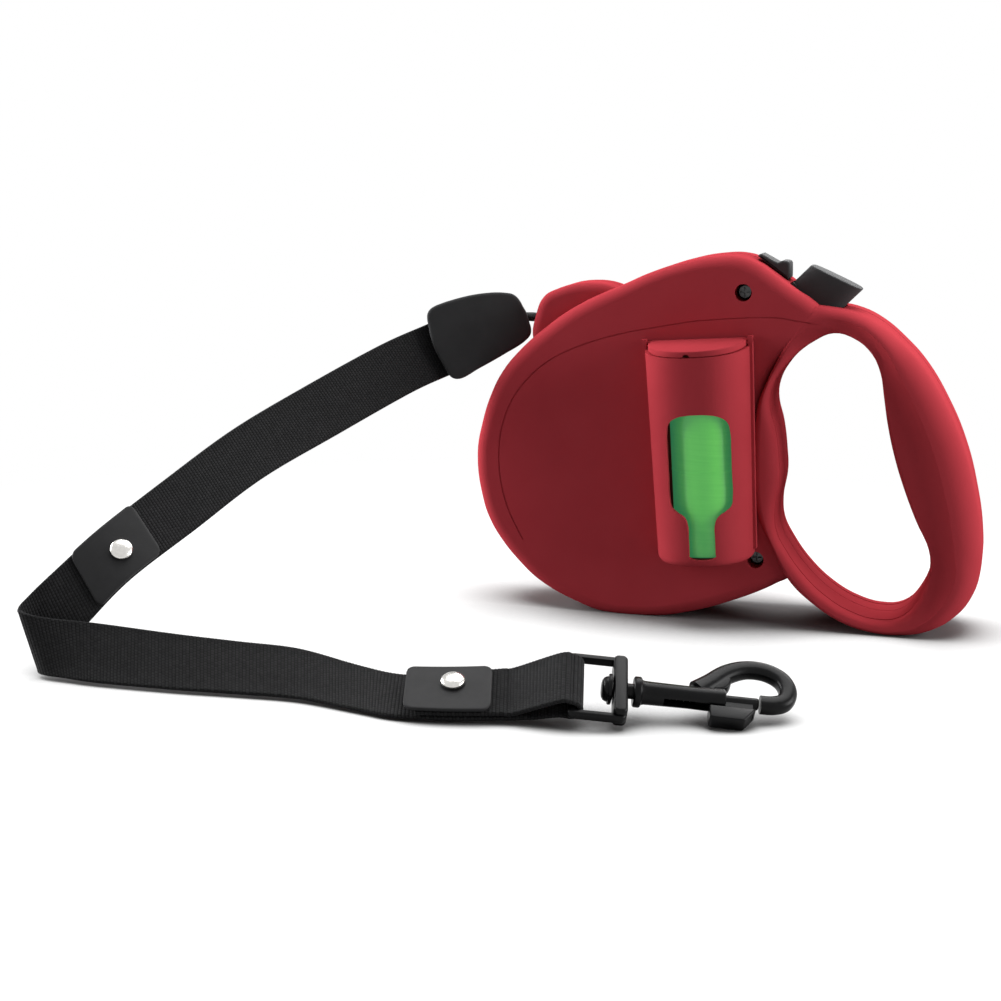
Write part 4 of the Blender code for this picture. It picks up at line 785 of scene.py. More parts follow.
# holder: half widths and heights of its window in millimetres along the holder's own axis
windowSetup = {
    "half": [(4.15, -30.7), (4.15, -29.8), (4.15, -25), (4.3, -20.4), (5.2, -18.2), (7.5, -16.6),
             (9.2, -15.0), (9.75, -12.2), (9.8, -5), (9.85, 3), (9.8, 7.8), (8.9, 11.3), (6.5, 13.0),
             (3.3, 13.7)],
    "windowTop": 13.85, "windowShift": -0.6, "windowY": (-60, -18.2),
    "footRounding": [(0.0, 2.6), (0.3, 1.5), (0.9, 0.7), (1.7, 0.2), (2.6, 0.0)],
    "back": 0.3, "spare": 2, "floor": 2.2, "openBack": -2.0, "openTo": 6,
    "ribOut": 0.75, "ribIn": 0.6, "ribFoot": 3.4, "ribY": (-19.6, -16.5), "earHigh": 36.4,
    "pinHole": 0.95, "pinReach": 30, "axisOut": 1.7, "axisUp": 1.5,
    "lidSeat": 1.5, "aboveLid": ((-100, -100, 0), (100, 100, 50)),
}
# lid: its edge as rises and insets
lidSetup = {"edge": [(0.2, 0.15), (0.35, 0), (1.5, 0), (1.95, 0.2), (2.2, 0.7)], "gap": 0.4, "over": 0.2,
            "back": 0.9, "notch": 1.1, "notchAt": -3.0, "notchUp": 0.1, "notchOut": (-2.2, 3), "pin": 0.6}
holderTurn = Matrix((holderSetup["side"], (0, 1, 0), holderSetup["up"])).transposed().to_4x4()


def holderWide(up):
    return holderSetup["half"] + holderSetup["flare"] * up


def halfRound(rows, back):
    # solid with a half-round front; each row is a height, a half width and a depth
    h, points = holderSetup, []
    for up, half, depth in rows:
        ring = [(half, back)]
        for angle in arc(h["steps"], math.pi):
            side, out = squarish(angle, h["squareness"])
            ring.append((half * side, max(back + h["thinnest"], depth * out)))
        ring.append((-half, back))
        points.append([holderPoint(h["shift"] + side, out, up) for side, out in ring])
    return loft(points)


def holderLine(points):
    return flatLine(holderPoint(side, 0, up) for side, up in points)


def lidAxis():
    h, w = holderSetup, windowSetup
    return holderPoint(h["shift"], w["axisOut"], h["high"] + w["axisUp"])


def lidRod(reach, radius):
    half = Vector(holderSetup["side"]) * reach * mm
    return rodBetween(lidAxis() - half, lidAxis() + half, radius, 24)


def makeHolder(setup, window):
    low, high, depth, wall = (setup[key] for key in ("low", "high", "depth", "wall"))
    top = high + window["spare"]
    rows = [(low + rise, holderWide(low + rise) - inset, depth - inset)
            for rise, inset in window["footRounding"]]
    holder = halfRound(rows + [(top, holderWide(top), depth)], window["back"])
    slope = Matrix.Rotation(math.radians(setup["lidSlope"]), 4, "X")
    seat = lidAxis() - Vector(setup["up"]) * window["lidSeat"] * mm
    above = moved(block(*window["aboveLid"]), Matrix.Translation(seat) @ holderTurn @ slope)
    holder = carve(holder, above)
    foot, ear, out, into = low + window["ribFoot"], window["earHigh"], window["ribOut"], -window["ribIn"]
    for sign in (-1, 1):
        corners = [(foot, into), (foot, out), (ear, out), (ear, into)]
        line = [(setup["shift"] + sign * (holderWide(min(up, high)) + edge), up) for up, edge in corners]
        holder = unite(holder, slab(holderLine(line), *window["ribY"]))
    ends = (low + window["floor"], high + window["openTo"])
    room = [(up, holderWide(up) - wall, depth - wall) for up in ends]
    holder = carve(holder, halfRound(room, window["openBack"]))
    half, shift = window["half"], window["windowShift"]
    outline = half + [(0, window["windowTop"])] + [(-side, up) for side, up in half[::-1]]
    flat = [(x / mm, z / mm) for x, z in holderLine([(side + shift, up) for side, up in outline])]
    holder = carve(holder, slab(smoothLine(flat, 6), *window["windowY"]))
    holder = carve(holder, lidRod(window["pinReach"], window["pinHole"]))
    eased(makePiece("holder_shell", holder, "bag_holder", "case", 30), 0.4)


def makeLid(setup, window, lid):
    high, inset = setup["high"], window["ribIn"]
    half, depth = holderWide(high) - inset - lid["gap"], setup["depth"] + lid["over"]
    cap = halfRound([(high + rise, half - back, depth - back) for rise, back in lid["edge"]], lid["back"])
    ends = [holderPoint(lid["notchAt"], depth + out, high + lid["notchUp"]) for out in lid["notchOut"]]
    cap = carve(cap, rodBetween(*ends, lid["notch"], 24))
    cap = unite(cap, lidRod(half + inset, lid["pin"]))
    toAxis = Matrix.Translation(lidAxis())
    slope = Matrix.Rotation(math.radians(setup["lidSlope"]), 4, Vector(setup["side"]))
    makePiece("lid_cap", moved(cap, toAxis @ slope @ toAxis.inverted()), "bag_lid", "lid", 30)


# roll: its end layers, and the line where the film is folded as rise and height
rollSetup = {"hole": 4.3, "layer": 0.45, "layerDepth": 0.22, "edge": 0.35, "fold": -4.2,
             "foldLine": [(0, -0.16), (0.07, -0.08), (0.07, 0.08), (0, 0.16)]}


def makeRoll(setup, roll):
    radius, low, high = setup["rollRadius"], setup["rollLow"], setup["rollHigh"]
    hole, edge, depth = roll["hole"], roll["edge"], roll["layerDepth"]
    place = Matrix.Translation(holderPoint(0, setup["foot"][1] - setup["rollY"], 0)) @ holderTurn
    count = int((radius - edge - hole) / roll["layer"] / 2) * 2
    steps = [hole + (radius - edge - hole) * i / count for i in range(count + 1)]
    profile = [(r, low + depth * (i % 2)) for i, r in enumerate(steps)] + [(radius, low + edge)]
    profile += [(radius + rise, roll["fold"] + up) for rise, up in roll["foldLine"]] + [(radius, high - edge)]
    profile += [(r, high - depth * (i % 2)) for i, r in enumerate(steps)][::-1]
    makePiece("bag_film_roll", turned(profile, place, 96), "bag_roll", "roll", 35)


makeHolder(holderSetup, windowSetup)
makeLid(holderSetup, windowSetup, lidSetup)
makeRoll(holderSetup, rollSetup)
print("holder, lid and roll are made")


# brake button: its cap, the room in it for the slider's tongue, and what it keeps of the solid's stem
capSetup = {"squareness": 0.62, "rounding": [(0.0, 0.45), (0.1, 0.2), (0.25, 0.06), (0.5, 0.0)], "points": 64,
            "room": [(34, 116), (42.28, 114.28), (46.38, 97.18), (34, 95)], "roomY": (-3.25, -0.55),
            "stem": [(2.2, -9), (2.2, 9), (70, 9), (70, -9)], "stemY": (-5.6, -3.0)}


def makeButton(setup, cap):
    rows = []
    levels = [(setup["top"] + drop, inset) for drop, inset in cap["rounding"]]
    for level, inset in levels + [(setup["low"], 0.0)]:
        row = []
        for angle in arc(cap["points"])[:-1]:
            across, out = squarish(angle, cap["squareness"])
            across = (setup["half"] - inset) * across
            row.append(buttonPoint(level - setup["tilt"] * across, across, (setup["halfY"] - inset) * out))
        rows.append(row)
    button = carve(loft(rows), slab(inMetres(cap["room"]), *cap["roomY"]))
    stem = bmesh.new()
    stem.from_mesh(nodes["brake_button"].data)
    moved(stem, nodes["brake_button"].matrix_world)
    bmesh.ops.remove_doubles(stem, verts=stem.verts, dist=1e-6)
    line = flatLine(buttonPoint(depth, across) for depth, across in cap["stem"])
    stem = carve(stem, slab(line, *cap["stemY"]), "INTERSECT")
    makePiece("button_cap", unite(button, stem), "brake_button", "brake", 35)


# lock slider: its thumb pad, and a tongue that ends in a peg
sliderSetup = {
    "pad": [(30.6, 116.1), (31.0, 116.6), (31.8, 116.8), (34.2, 115.6), (36.3, 114.5), (37.0, 114.25),
            (37.7, 114.55), (38.4, 114.85), (39.5, 114.85), (40.3, 114.6), (40.7, 113.95), (40.8, 111.8),
            (40.85, 109.8), (40.4, 109.1), (37.6, 111.1), (34.4, 113.4)],
    "halfY": 5.0, "rim": 0.7, "peg": (40.99, 93.84), "pegRadius": 1.1, "pegY": (-5.9, -1.2),
    "root": [(35.3, 114.0), (38.9, 111.4)], "roundPeg": [(2, 0.5), (0, -1.9), (-2, -0.5)],
    "tongueY": (-2.9, -0.9),
}


def makeSlider(setup):
    slider = plate(inMetres(setup["pad"]), setup["halfY"], setup["rim"], 4)
    x, z = setup["peg"]
    tongue = setup["root"] + [(x + right, z + up) for right, up in setup["roundPeg"]]
    slider = unite(slider, slab(inMetres(tongue), *setup["tongueY"]))
    slider = unite(slider, rodBetween(*(at(x, y, z) for y in setup["pegY"]), setup["pegRadius"], 32))
    makePiece("slider_thumb", slider, "lock_slider", "lock", 35)


bushSetup = {"mouth": -40.2,
             "profile": [(2.1, 0.5), (2.3, 0.12), (2.7, 0), (3.3, 0), (3.6, 0.3), (3.6, 4), (2.1, 4)]}


def makeBush(setup):
    mouth = Matrix.Translation(at(setup["mouth"], 0, caseSetup["cordHeight"]))
    ring = turned(setup["profile"], mouth @ Matrix.Rotation(math.pi / 2, 4, "Y"), 64)
    makePiece("nozzle_ring", ring, "nozzle_bush", "case", 40)


makeButton(buttonSetup, capSetup)
makeSlider(sliderSetup)
makeBush(bushSetup)
print("button, slider and bush are made")


# snap hook: local millimetres along the hook's axis, across it and out of its flat
hookSetup = {"swivel": (16.4, -129.0, 8.4), "along": (0.962, 0.258, -0.09), "lean": 62.0,
             "eyeLength": 15.5, "eyeBar": 3.4, "eyeBack": 1.1, "strapBar": 2.0, "eyeThick": 2.5,
             "strapDrop": 0.35, "strapGap": 0.39, "leadIn": 3.2}
eyeSetup = {"width": 23.0, "side": 1.6, "corner": 1.6, "rim": 0.7, "through": 5, "barHalf": 3.0,
            "barOver": 0.2, "barInset": 0.9, "barCorner": 1.4, "barRim": 0.8, "bore": 2.4, "boreOver": 2}


def hookFrame():
    # local X along the hook, Y across its flat, Z out of it; millimetres to metres
    along = Vector(hookSetup["along"]).normalized()
    back = Vector((-along.y, along.x, 0)).normalized()
    upright = along.cross(back).normalized()
    lean = math.radians(hookSetup["lean"])
    across = back * math.sin(lean) + upright * math.cos(lean)
    turn = Matrix((along, across, along.cross(across))).transposed().to_4x4()
    return Matrix.Translation(at(*hookSetup["swivel"])) @ turn @ Matrix.Scale(mm, 4)


hookPlace = hookFrame() @ Matrix.Scale(1 / mm, 4)
aboutHook = hookPlace @ Matrix.Rotation(math.pi / 2, 4, "Y")
flatOnHook = hookPlace @ Matrix.Rotation(-math.pi / 2, 4, "X")


def hookBore(radius, low, high, sides):
    return turned([(radius, low), (radius, high), (0, high), (0, low)], aboutHook, sides)


def makeEye(hook, setup):
    bar, back, over = hook["eyeBar"], hook["eyeBack"], setup["barOver"]
    right, half, side = bar / 2 - back, setup["width"] / 2, setup["side"]
    left, through, inset = right - hook["eyeLength"], setup["through"], setup["barInset"]
    outline = roundedLine(left, right, -half, half, setup["corner"])
    eye = moved(plate(outline, hook["eyeThick"] / 2, setup["rim"], 4), flatOnHook)
    opening = block((left + hook["strapBar"], side - half, -through), (right - bar, half - side, through))
    eye = carve(eye, moved(opening, hookPlace))
    low, high = -bar / 2 - over - back, bar / 2 + over - back
    outline = roundedLine(low, high, inset - half, half - inset, setup["barCorner"])
    eye = unite(eye, moved(plate(outline, setup["barHalf"], setup["barRim"], 4), flatOnHook))
    eye = carve(eye, hookBore(setup["bore"], low - setup["boreOver"], high + setup["boreOver"], 32))
    eased(makePiece("eye_frame", eye, "swivel_eye", "lead", 35), 0.3)


castingSetup = {
    "loop": [(19.5, 2.4), (23.0, 5.6), (27.5, 10.0), (32.8, 12.6), (38.2, 12.5), (42.4, 9.8), (43.9, 5.4),
             (42.6, 1.7), (39.6, 0.2), (36.1, 0)],
    "ringHalf": (2.45, 2.2), "ringSquare": 0.78, "ringPoints": 28, "rootSwell": 0.25, "rootSteps": 24,
    "web": [(17.0, 2.2), (22.0, 2.4), (26.6, 3.2), (28.2, 5.0), (28.4, 7.6), (26.4, 8.6), (22.6, 5.2)],
    "webHalf": 1.7, "webRim": 0.6,
    # turned line, as radius and height: the head behind the eye, the collar before it, and the shank
    "headGap": 0.5, "collar": 2.4,
    "headLine": [(0, -2.8), (1.6, -2.75), (2.3, -2.6), (3.0, -2.1), (3.3, -1.5), (3.4, -1.05), (3.95, -0.95),
                 (4.1, -0.75), (4.1, -0.2), (3.9, 0), (2.05, 0)],
    "collarLine": [(2.05, 0), (3.7, 0), (4.05, 0.3), (4.1, 0.6), (4.1, 1.7), (3.9, 2.0), (3.35, 2.3),
                   (3.15, 3.0)],
    "shankLine": [(3.1, 8), (3.0, 17), (3.2, 26.0), (3.1, 26.5), (2.7, 26.8), (0, 26.8)],
    "boltGap": 0.3, "bore": (6.8, 27.5), "slot": ((10.5, -9, -1.3), (28, 0, 1.3)),
}
boltSetup = {
    "radius": 1.6, "start": 19, "end": 35.7, "nose": [(0, 0.45), (0.15, 0.12), (0.45, 0)],
    "neck": ((22.5, -5.2, -1.0), (34.0, -0.6, 1.0)), "lugHalf": 2.1, "lugRim": 0.45,
    "lug": [(22.3, -3.7), (34.6, -3.7), (34.4, -4.3), (31.7, -8.1), (31.1, -8.5), (22.9, -8.4), (22.3, -7.8)],
}


def makeLoop(cast, steps=8):
    # squarish ring swept along the hook's mouth, thick at its root
    path = fineLine([Vector((x, y, 0)) for x, y in cast["loop"]], steps)
    shapes = [squarish(angle, cast["ringSquare"]) for angle in arc(cast["ringPoints"])[:-1]]
    wide, thick = cast["ringHalf"]
    rows = []
    for n, p in enumerate(path):
        along = chord(path, n).normalized()
        outward = Vector((along.y, -along.x, 0))
        swell = 1 + cast["rootSwell"] * max(0.0, 1 - n / cast["rootSteps"])
        rows.append([(p + outward * out * wide * swell + Vector((0, 0, up * thick * swell))) * mm
                     for out, up in shapes])
    return moved(loft(rows), hookPlace)


def makeCasting(hook, cast, bolt):
    head, collar = -hook["eyeBar"] / 2 - hook["eyeBack"] - cast["headGap"], cast["collar"]
    profile = [(radius, head + up) for radius, up in cast["headLine"]]
    profile += [(radius, collar + up) for radius, up in cast["collarLine"]] + cast["shankLine"]
    casting = unite(turned(profile, aboutHook), makeLoop(cast))
    web = plate(smoothLine(cast["web"], 4), cast["webHalf"], cast["webRim"], 3)
    casting = unite(casting, moved(web, flatOnHook))
    casting = carve(casting, hookBore(bolt["radius"] + cast["boltGap"], *cast["bore"], 40))
    casting = carve(casting, moved(block(*cast["slot"]), hookPlace))
    makePiece("hook_casting", casting, "hook_body", "hook", 40)


def makeBolt(setup):
    radius, start, end = setup["radius"], setup["start"], setup["end"]
    nose = [(radius - inset, end - back) for inset, back in setup["nose"]]
    bolt = turned([(0, start), (radius, start)] + nose + [(0, end)], aboutHook, 40)
    bolt = unite(bolt, moved(block(*setup["neck"]), hookPlace))
    lug = plate(inMetres(setup["lug"]), setup["lugHalf"], setup["lugRim"], 3)
    eased(makePiece("gate_bolt", unite(bolt, moved(lug, flatOnHook)), "hook_bolt", "bolt", 40), 0.2, 2)


# strap: edge pairs in millimetres from the cord stop to the hook, the same route as the solid
strapSetup = {
    "rows": [((-68.2, -2.5, 94.6), (-62.0, -2.5, 77.2)), ((-76.9, -9.0, 90.4), (-68.4, -9.0, 74.2)),
             ((-88.4, -22, 84.4), (-77.6, -22, 69.4)), ((-104.7, -47.3, 73.1), (-93.2, -48.7, 58.7)),
             ((-119.2, -70.7, 61.9), (-107.3, -75.3, 48.5)), ((-131.2, -94.6, 49.3), (-118.6, -99.4, 36.6)),
             ((-141.6, -115, 37.7), (-129.5, -121, 25.2)), ((-149.8, -127.6, 27.6), (-138.6, -131.6, 13.2)),
             ((-154.8, -133.6, 21.4), (-145.6, -136.4, 4.6)), ((-155.8, -137.4, 18.8), (-148.2, -139.8, 1.6)),
             ((-152.6, -138.6, 17.6), (-145.2, -142.4, 1.3)), ((-145.6, -136.4, 16.2), (-139, -143.2, 1.3)),
             ((-133.6, -132.8, 14.9), (-128.3, -144.1, 1.2)), ((-110.3, -130.4, 13.1), (-104.5, -143.3, 1.2)),
             ((-93.3, -127.7, 11.8), (-87.5, -141.6, 1.2)), ((-76, -126.3, 10.9), (-70.4, -140.8, 1.2)),
             ((-57.8, -129.2, 8.6), (-52.2, -145.2, 1.1)), ((-45.6, -131.0, 7.6), (-41.6, -147.8, 1.1)),
             ((-33.8, -129.8, 7.9), (-28.8, -146.2, 1.1)), ((-20, -126.6, 8.7), (-16, -142.8, 1.3)),
             ((-9.6, -124.4, 10.2), (-5.4, -140.4, 1.8))],
    "stepsPerRow": 4, "turnSteps": 8, "tailFrom": 17.3, "tailTo": 19.6, "tailLift": 1.7,
    "thick": 1.3, "halfWidth": 9.25, "rib": 1.0, "ribDepth": 0.13, "stepsPerRib": 4,
    # across the strap: place on the half-width and share of the half-thickness, with a rolled selvedge
    "section": [(-1.0, 0.0), (-0.995, 0.55), (-0.97, 0.95), (-0.93, 1.08), (-0.88, 0.94), (-0.5, 1.0),
                (0.0, 1.0), (0.5, 1.0), (0.88, 0.94), (0.93, 1.08), (0.97, 0.95), (0.995, 0.55), (1.0, 0.0)],
}


def rowFrame(rows, position, nudge=0.05):
    # middle, half-width vector and normal of the strap at a row number
    upper, lower = onCurve(rows, position)
    ahead, behind = (onCurve(rows, min(max(position + d, 0), len(rows) - 1.0)) for d in (nudge, -nudge))
    along = (ahead[0] + ahead[1]) - (behind[0] + behind[1])
    return (upper + lower) / 2, (upper - lower) / 2, (upper - lower).cross(along).normalized()


def strapRoute(setup, hook):
    # edge pairs over the whole strap: the photographed fold, round the eye's bar, and the sewn tail
    rows = [(at(*upper), at(*lower)) for upper, lower in setup["rows"]]
    perRow = setup["stepsPerRow"]
    spots = [i / perRow for i in range(perRow * (len(rows) - 1) + 1)]
    place = hookFrame()
    along, across, normal = (place.to_3x3().col[i].normalized() for i in range(3))
    barAt = (hook["eyeBar"] + hook["strapBar"]) / 2 - hook["eyeBack"] - hook["eyeLength"]
    bar = place @ Vector((barAt, -hook["strapDrop"], 0))
    reach = (math.hypot(hook["strapBar"], hook["eyeThick"]) / 2 + hook["strapGap"] + setup["thick"] / 2) * mm
    half = across * setup["halfWidth"] * mm
    turnRows = []
    for angle in arc(setup["turnSteps"], math.pi):
        middle = bar - normal * (reach * math.cos(angle)) + along * (reach * math.sin(angle))
        turnRows.append((middle + half, middle - half))
    leadIn = along * -hook["leadIn"] * mm
    before, after = ((row[0] + leadIn, row[1] + leadIn) for row in (turnRows[0], turnRows[-1]))
    tail = []
    for spot in spots:
        if setup["tailFrom"] <= spot <= setup["tailTo"]:
            middle, side, out = rowFrame(rows, spot)
            middle = middle - out * setup["tailLift"] * mm
            tail.append((middle + side, middle - side))
    return rows, fineLine(rows, perRow) + [before] + turnRows + [after] + tail[::-1]


def evenRows(route, step, fineSteps=12):
    # rows at even steps along the middle of the route
    fine = fineLine(route, fineSteps)
    run = runAlong([(a + b) / 2 for a, b in fine])
    rows, k, count = [], 0, int(run[-1] / step)
    for n in range(count + 1):
        goal = run[-1] * n / count
        while run[k + 1] < goal and k < len(run) - 2:
            k += 1
        t = (goal - run[k]) / max(1e-9, run[k + 1] - run[k])
        rows.append(tuple(a.lerp(b, t) for a, b in zip(fine[k], fine[k + 1])))
    return rows, run[-1]


def makeStrap(setup, hook):
    rows, route = strapRoute(setup, hook)
    even, length = evenRows(route, setup["rib"] * mm / setup["stepsPerRib"])
    section = setup["section"] + [(side, -up) for side, up in setup["section"][-2:0:-1]]
    middles = [(a + b) / 2 for a, b in even]
    points = []
    for n, (upper, lower) in enumerate(even):
        half = (upper - lower) / 2
        out = half.cross(chord(middles, n)).normalized()
        relief = setup["ribDepth"] * abs(math.sin(math.pi * n / setup["stepsPerRib"]))
        thick = (setup["thick"] / 2 - setup["ribDepth"] + relief) * mm
        points.append([middles[n] + half * side + out * thick * up for side, up in section])
    widths = [side * setup["halfWidth"] for side, up in section] + [-setup["halfWidth"]]
    steps = length / mm / (len(even) - 1)
    bm = loft(points, lambda row, side: (widths[side], row * steps))
    strap = makePiece("woven_strap", bm, "strap", "lead", 60)
    print("strap, mm:", round(length / mm, 1))
    return rows


# the cord between the reel and the stop, with the swell of its strands
cordSetup = {"from": (-12.9, 0, 93.7), "to": (-50, 0, 93.7), "mouth": (-40.2, 0, 93.7),
             "holdAt": (-41, 0, 93.7), "radius": 1.5, "steps": 60, "sides": 20, "strands": 4,
             "swell": 0.035, "twist": 0.9, "pathSteps": 20}


def makeLeadCord(setup):
    start, end, mouth, hold = (at(*setup[key]) for key in ("from", "to", "mouth", "holdAt"))
    count, sides, swell = setup["steps"], setup["sides"], setup["swell"]
    rows = []
    for n in range(count + 1):
        middle, row = start.lerp(end, n / count), []
        for angle in arc(sides)[:-1]:
            strand = math.cos(setup["strands"] * angle + n * setup["twist"])
            radius = setup["radius"] * (1 - swell + swell * strand)
            row.append(middle + Vector((0, math.cos(angle), math.sin(angle))) * radius * mm)
        rows.append(row)
    around, length = 2 * math.pi * setup["radius"], (end - start).length
    bm = loft(rows, lambda row, side: (around * side / sides, length / mm * row / count))
    cord = makePiece("lead_line", bm, "lead_cord", None)
    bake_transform(cord)


makeEye(hookSetup, eyeSetup)
makeCasting(hookSetup, castingSetup, boltSetup)
makeBolt(boltSetup)
strapRows = makeStrap(strapSetup, hookSetup)
makeLeadCord(cordSetup)
print("hook, strap and cord are made")


# cord stop, moulded over the end of the strap
stopSetup = {
    "narrow": (-44.4, 0.0, 93.6), "along": (-0.901, -0.29, -0.322), "across": (-0.35, 0.0, 0.937),
    "half": 5.5, "rim": 1.1, "cordHole": (-51.5, -35), "cordRadius": 1.8,
    "slot": 2.3, "slotWiden": 1.035, "slotDeeper": 0.5, "slotSteps": 14, "stepsPerRow": 8,
    "line": [(0.3, -1.4), (0.5, -4.3), (1.3, -5.8), (3.0, -6.9), (5.4, -7.8), (10.7, -9.0), (14.3, -9.8),
             (17.8, -10.5), (21.4, -11.2), (24.2, -11.9), (26.4, -12.3), (28.0, -12.2), (29.4, -11.6),
             (30.4, -10.4), (31.0, -8.2), (31.6, -5.0), (32.2, -1.9), (32.5, 1.2), (32.4, 4.1), (32.0, 7.3),
             (31.7, 9.5), (31.0, 11.2), (29.8, 12.2), (28.2, 12.7), (25.7, 12.9), (21.8, 12.9), (16.9, 12.6),
             (13.8, 12.2), (10.7, 11.6), (7.6, 10.8), (4.7, 9.7), (2.8, 8.7), (1.8, 7.5), (1.1, 5.8),
             (0.7, 3.7), (0.3, 1.8)],
}


def makeStop(setup, rows):
    along = Vector(setup["along"]).normalized()
    place = aligned(at(*setup["narrow"]), along, Vector(setup["across"]).cross(along))
    stop = moved(plate(smoothLine(setup["line"], 8), setup["half"], setup["rim"], 5), place)
    ends = [at(x, 0, caseSetup["cordHeight"]) for x in setup["cordHole"]]
    stop = carve(stop, rodBetween(*ends, setup["cordRadius"], 32))
    points = []
    for i in range(setup["slotSteps"] + 1):
        middle, side, out = rowFrame(rows, i / setup["stepsPerRow"])
        if i == 0:
            middle = middle + (rows[0][0] - rows[1][0]).normalized() * setup["slotDeeper"] * mm
        side, thick = side * setup["slotWiden"], out * setup["slot"] / 2 * mm
        left, right = middle + side, middle - side
        points.append((left + thick, right + thick, right - thick, left - thick))
    slot = loft(points)
    bmesh.ops.triangulate(slot, faces=slot.faces)
    makePiece("stop_block", carve(stop, slot), "cord_stop", "lead", 35)


# leather patches: rows of the strap that each covers, the side on which it lies, and its rivet's place
patchSetup = {
    "patch_upper": {"rows": (5.5, 6.6), "lift": 1.4, "corner": 2.2, "face": 1,
                    "rivet": 5.92, "rivetUp": -1.0, "rivetLift": 0.0},
    "patch_lower": {"rows": (17.25, 19.0), "lift": -3.1, "corner": 2.6, "face": -1,
                    "rivet": 18.25, "rivetUp": 2.0, "rivetLift": 1.7},
}
leatherSetup = {
    "thick": 0.9, "steps": 72, "endThin": 0.72,
    "section": [(-1.0, -0.6), (-1.0, 0.3), (-0.985, 0.72), (-0.955, 0.95), (-0.9, 1.0), (0.9, 1.0),
                (0.955, 0.95), (0.985, 0.72), (1.0, 0.3), (1.0, -0.6), (0.98, -1.0), (-0.98, -1.0)],
}


def makePatch(name, setup, leather, rows):
    (start, end), corner, count = setup["rows"], setup["corner"], leather["steps"]
    spots = [start + (end - start) * i / count for i in range(count + 1)]
    run = [d / mm for d in runAlong([rowFrame(rows, spot)[0] for spot in spots])]
    points = []
    for spot, d in zip(spots, run):
        middle, side, out = rowFrame(rows, spot)
        near = corner - min(corner, d, run[-1] - d)
        inset = corner - math.sqrt(max(0.0, corner ** 2 - near ** 2))
        across = side * (1 - inset * mm / side.length)
        thin = 1.0 if near < corner - 1e-6 else leather["endThin"]
        up, base = out * setup["face"], middle + out * setup["lift"] * mm
        points.append([base + across * w + up * (leather["thick"] / 2 * t * thin) * mm
                       for w, t in leather["section"]])
    makePiece(name + "_leather", loft(points), name, "lead", 50)


# rivets: dome and shank, and the washer behind as radius and height
rivetSetup = {"radius": 3.3, "dome": 1.3, "domeSteps": 14, "edge": 0.5, "shank": 1.15, "gap": 0.3,
              "tail": 0.7, "bevel": (0.25, 0.2),
              "washer": [(1.45, -0.9), (2.7, -0.9), (3.0, -0.7), (3.1, -0.4), (3.1, 0), (1.45, 0)]}


def makeRivet(name, patch, rows, setup):
    middle, side, out = rowFrame(rows, patch["rivet"])
    sideways = side.normalized()
    spot, up = middle + sideways * patch["rivetUp"] * mm, out * patch["face"]
    place = aligned(spot, sideways, up.cross(sideways))
    half, gap, radius, shank = strapSetup["thick"] / 2, setup["gap"], setup["radius"], setup["shank"]
    under, top = -half - gap, half + gap + leatherSetup["thick"] + gap + patch["rivetLift"]
    crown, tail, (inset, rise) = top + setup["edge"], under - setup["tail"], setup["bevel"]
    profile = [(shank, tail), (shank, top), (radius - inset, top), (radius, top + rise)]
    profile += [(radius * math.cos(angle), crown + setup["dome"] * math.sin(angle))
                for angle in arc(setup["domeSteps"], math.pi / 2)[:-1]]
    profile += [(0, crown + setup["dome"]), (0, tail)]
    makePiece(name + "_dome", turned(profile, place, 56), name, "lead", 50)
    washer = [(r, under + up) for r, up in setup["washer"]]
    makePiece(name + "_cap", turned(washer, place, 48), name + "_back", "lead", 50)


makeStop(stopSetup, strapRows)
for name, patch in patchSetup.items():
    makePatch(name, patch, leatherSetup, strapRows)
for name, patch in patchSetup.items():
    makeRivet(name.replace("patch", "rivet"), patch, strapRows, rivetSetup)
print("stop, patches and rivets are made")


# the cord on the reel, and the springs
innerSetup = {"cordRadius": 1.5, "layerRadius": 38.2, "turns": 2, "pitch": 3.45, "perTurn": 72, "lead": -3,
              "drum": 20.3, "core": (-3.0, 8.4), "underRadius": 34.9, "underTurns": 3.4, "underPitch": 2.436}


def onReel(radius, angle, y):
    x, z = caseSetup["reel"]
    return at(x + radius * math.cos(angle), y, z + radius * math.sin(angle))


def makeWoundCord(setup):
    perTurn, points = setup["perTurn"], []
    for left in range(setup["turns"] * perTurn, -1, -1):
        angle = math.pi / 2 - 2 * math.pi * left / perTurn
        points.append(onReel(setup["layerRadius"], angle, setup["pitch"] * left / perTurn))
    points.append(points[-1] + at(setup["lead"], 0, 0))
    makePiece("cord_coils", sweptTube(points, setup["cordRadius"], 14), "wound_cord", "reel")
    (low, high), outer, drum = setup["core"], setup["underRadius"], setup["drum"]
    place = Matrix.Translation(onReel(0, 0, 0)) @ Matrix.Rotation(-math.pi / 2, 4, "X")
    core = turned([(drum, low), (outer, low), (outer, high), (drum, high)], place, 96)
    points = []
    for i in range(int(setup["underTurns"] * perTurn) + 1):
        y = low + setup["cordRadius"] + setup["underPitch"] * i / perTurn
        points.append(onReel(outer, 2 * math.pi * i / perTurn, y))
    makePiece("cord_layers", sweptTube(points, setup["cordRadius"], 12, core), "cord_core", "reel", 50)


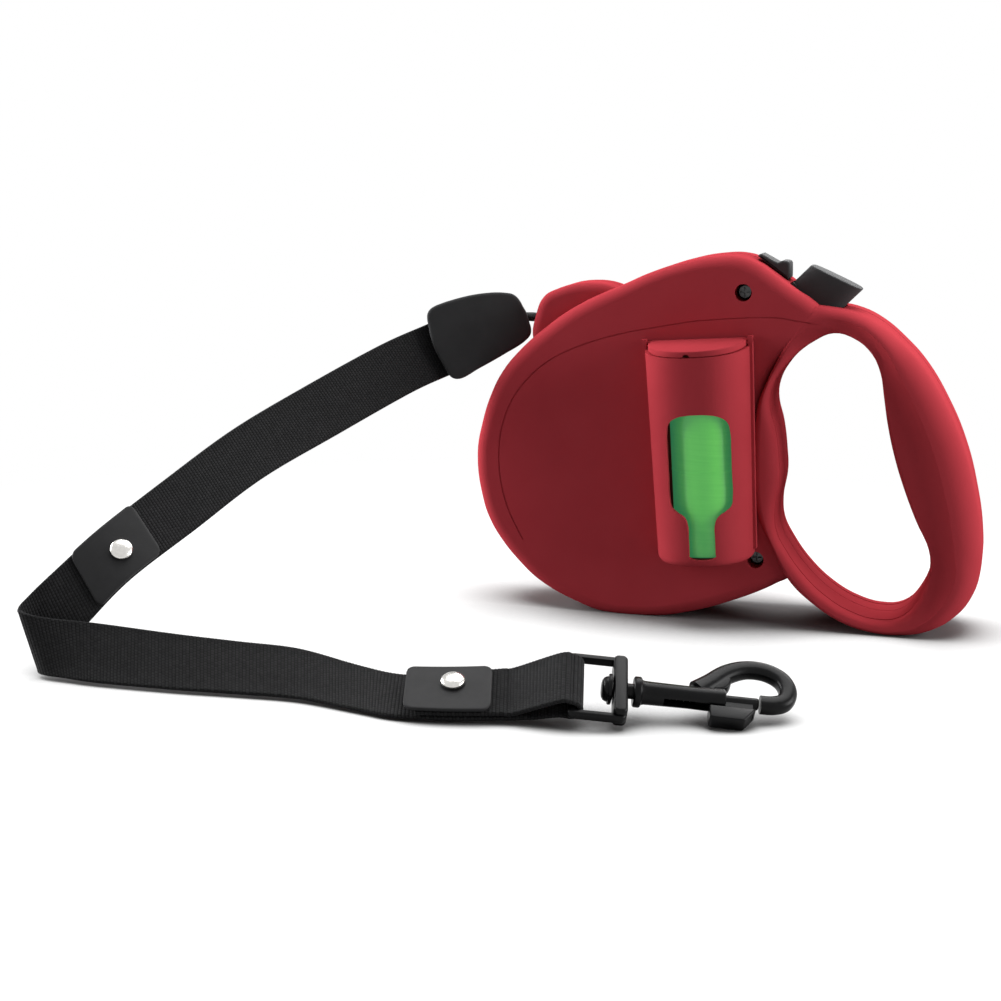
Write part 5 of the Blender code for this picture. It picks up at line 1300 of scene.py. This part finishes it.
mainspringSetup = {"thick": 0.5, "turns": 6, "perTurn": 64, "inner": 3.8, "outer": 15.8, "y": (-1.3, 6.6)}


def makeMainspring(setup):
    (low, high), half, inner = setup["y"], setup["thick"] / 2, setup["inner"]
    count = setup["turns"] * setup["perTurn"]
    rows = []
    for i in range(count + 1):
        angle = 2 * math.pi * i / setup["perTurn"]
        middle = inner + (setup["outer"] - inner) * i / count
        corners = ((middle - half, low), (middle + half, low), (middle + half, high), (middle - half, high))
        rows.append([onReel(radius, angle, y) for radius, y in corners])
    makePiece("wound_spring", loft(rows), "mainspring", "reel", 40)


# coil springs: their two ends, which of them holds still when the joint squashes them, and what is left then
springSetup = {
    "gate_spring": {"node": "bolt_spring", "body": "hook", "radius": 1.1, "wire": 0.25, "turns": 6,
                    "ends": [hookFrame() @ Vector((x, 0, 0)) for x in (7.1, 18.7)], "held": 0,
                    "joint": "bolt_slide", "axis": hookSetup["along"], "keep": 0.14},
    "return_spring": {"node": "brake_spring", "body": "case", "radius": 1.5, "wire": 0.3, "turns": 5,
                      "ends": [buttonPoint(depth, 0, 4.6) for depth in (3.3, 12.7)], "held": 1,
                      "joint": "brake_press", "axis": buttonSetup["press"], "keep": 0.57},
}


def makeSpring(name, setup, perTurn=28):
    start, end = setup["ends"]
    along, wire, radius = end - start, setup["wire"] * mm, setup["radius"]
    place = aligned(start, along, anySide)
    count = setup["turns"] * perTurn
    points = []
    for i in range(count + 1):
        angle = 2 * math.pi * i / perTurn
        height = wire + (along.length - 2 * wire) * i / count
        points.append(place @ Vector((height, radius * math.cos(angle) * mm, radius * math.sin(angle) * mm)))
    spring = makePiece(name, sweptTube(points, setup["wire"], 10), setup["node"], setup["body"])
    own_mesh(spring)


makeWoundCord(innerSetup)
makeMainspring(mainspringSetup)
for name, spring in springSetup.items():
    makeSpring(name, spring)
print("springs and cord coils are made")

for node, slot in slotOf.items():
    materials = nodes[node].data.materials
    materials.clear()
    materials.append(finishes[slot])
print("nodes are dressed")
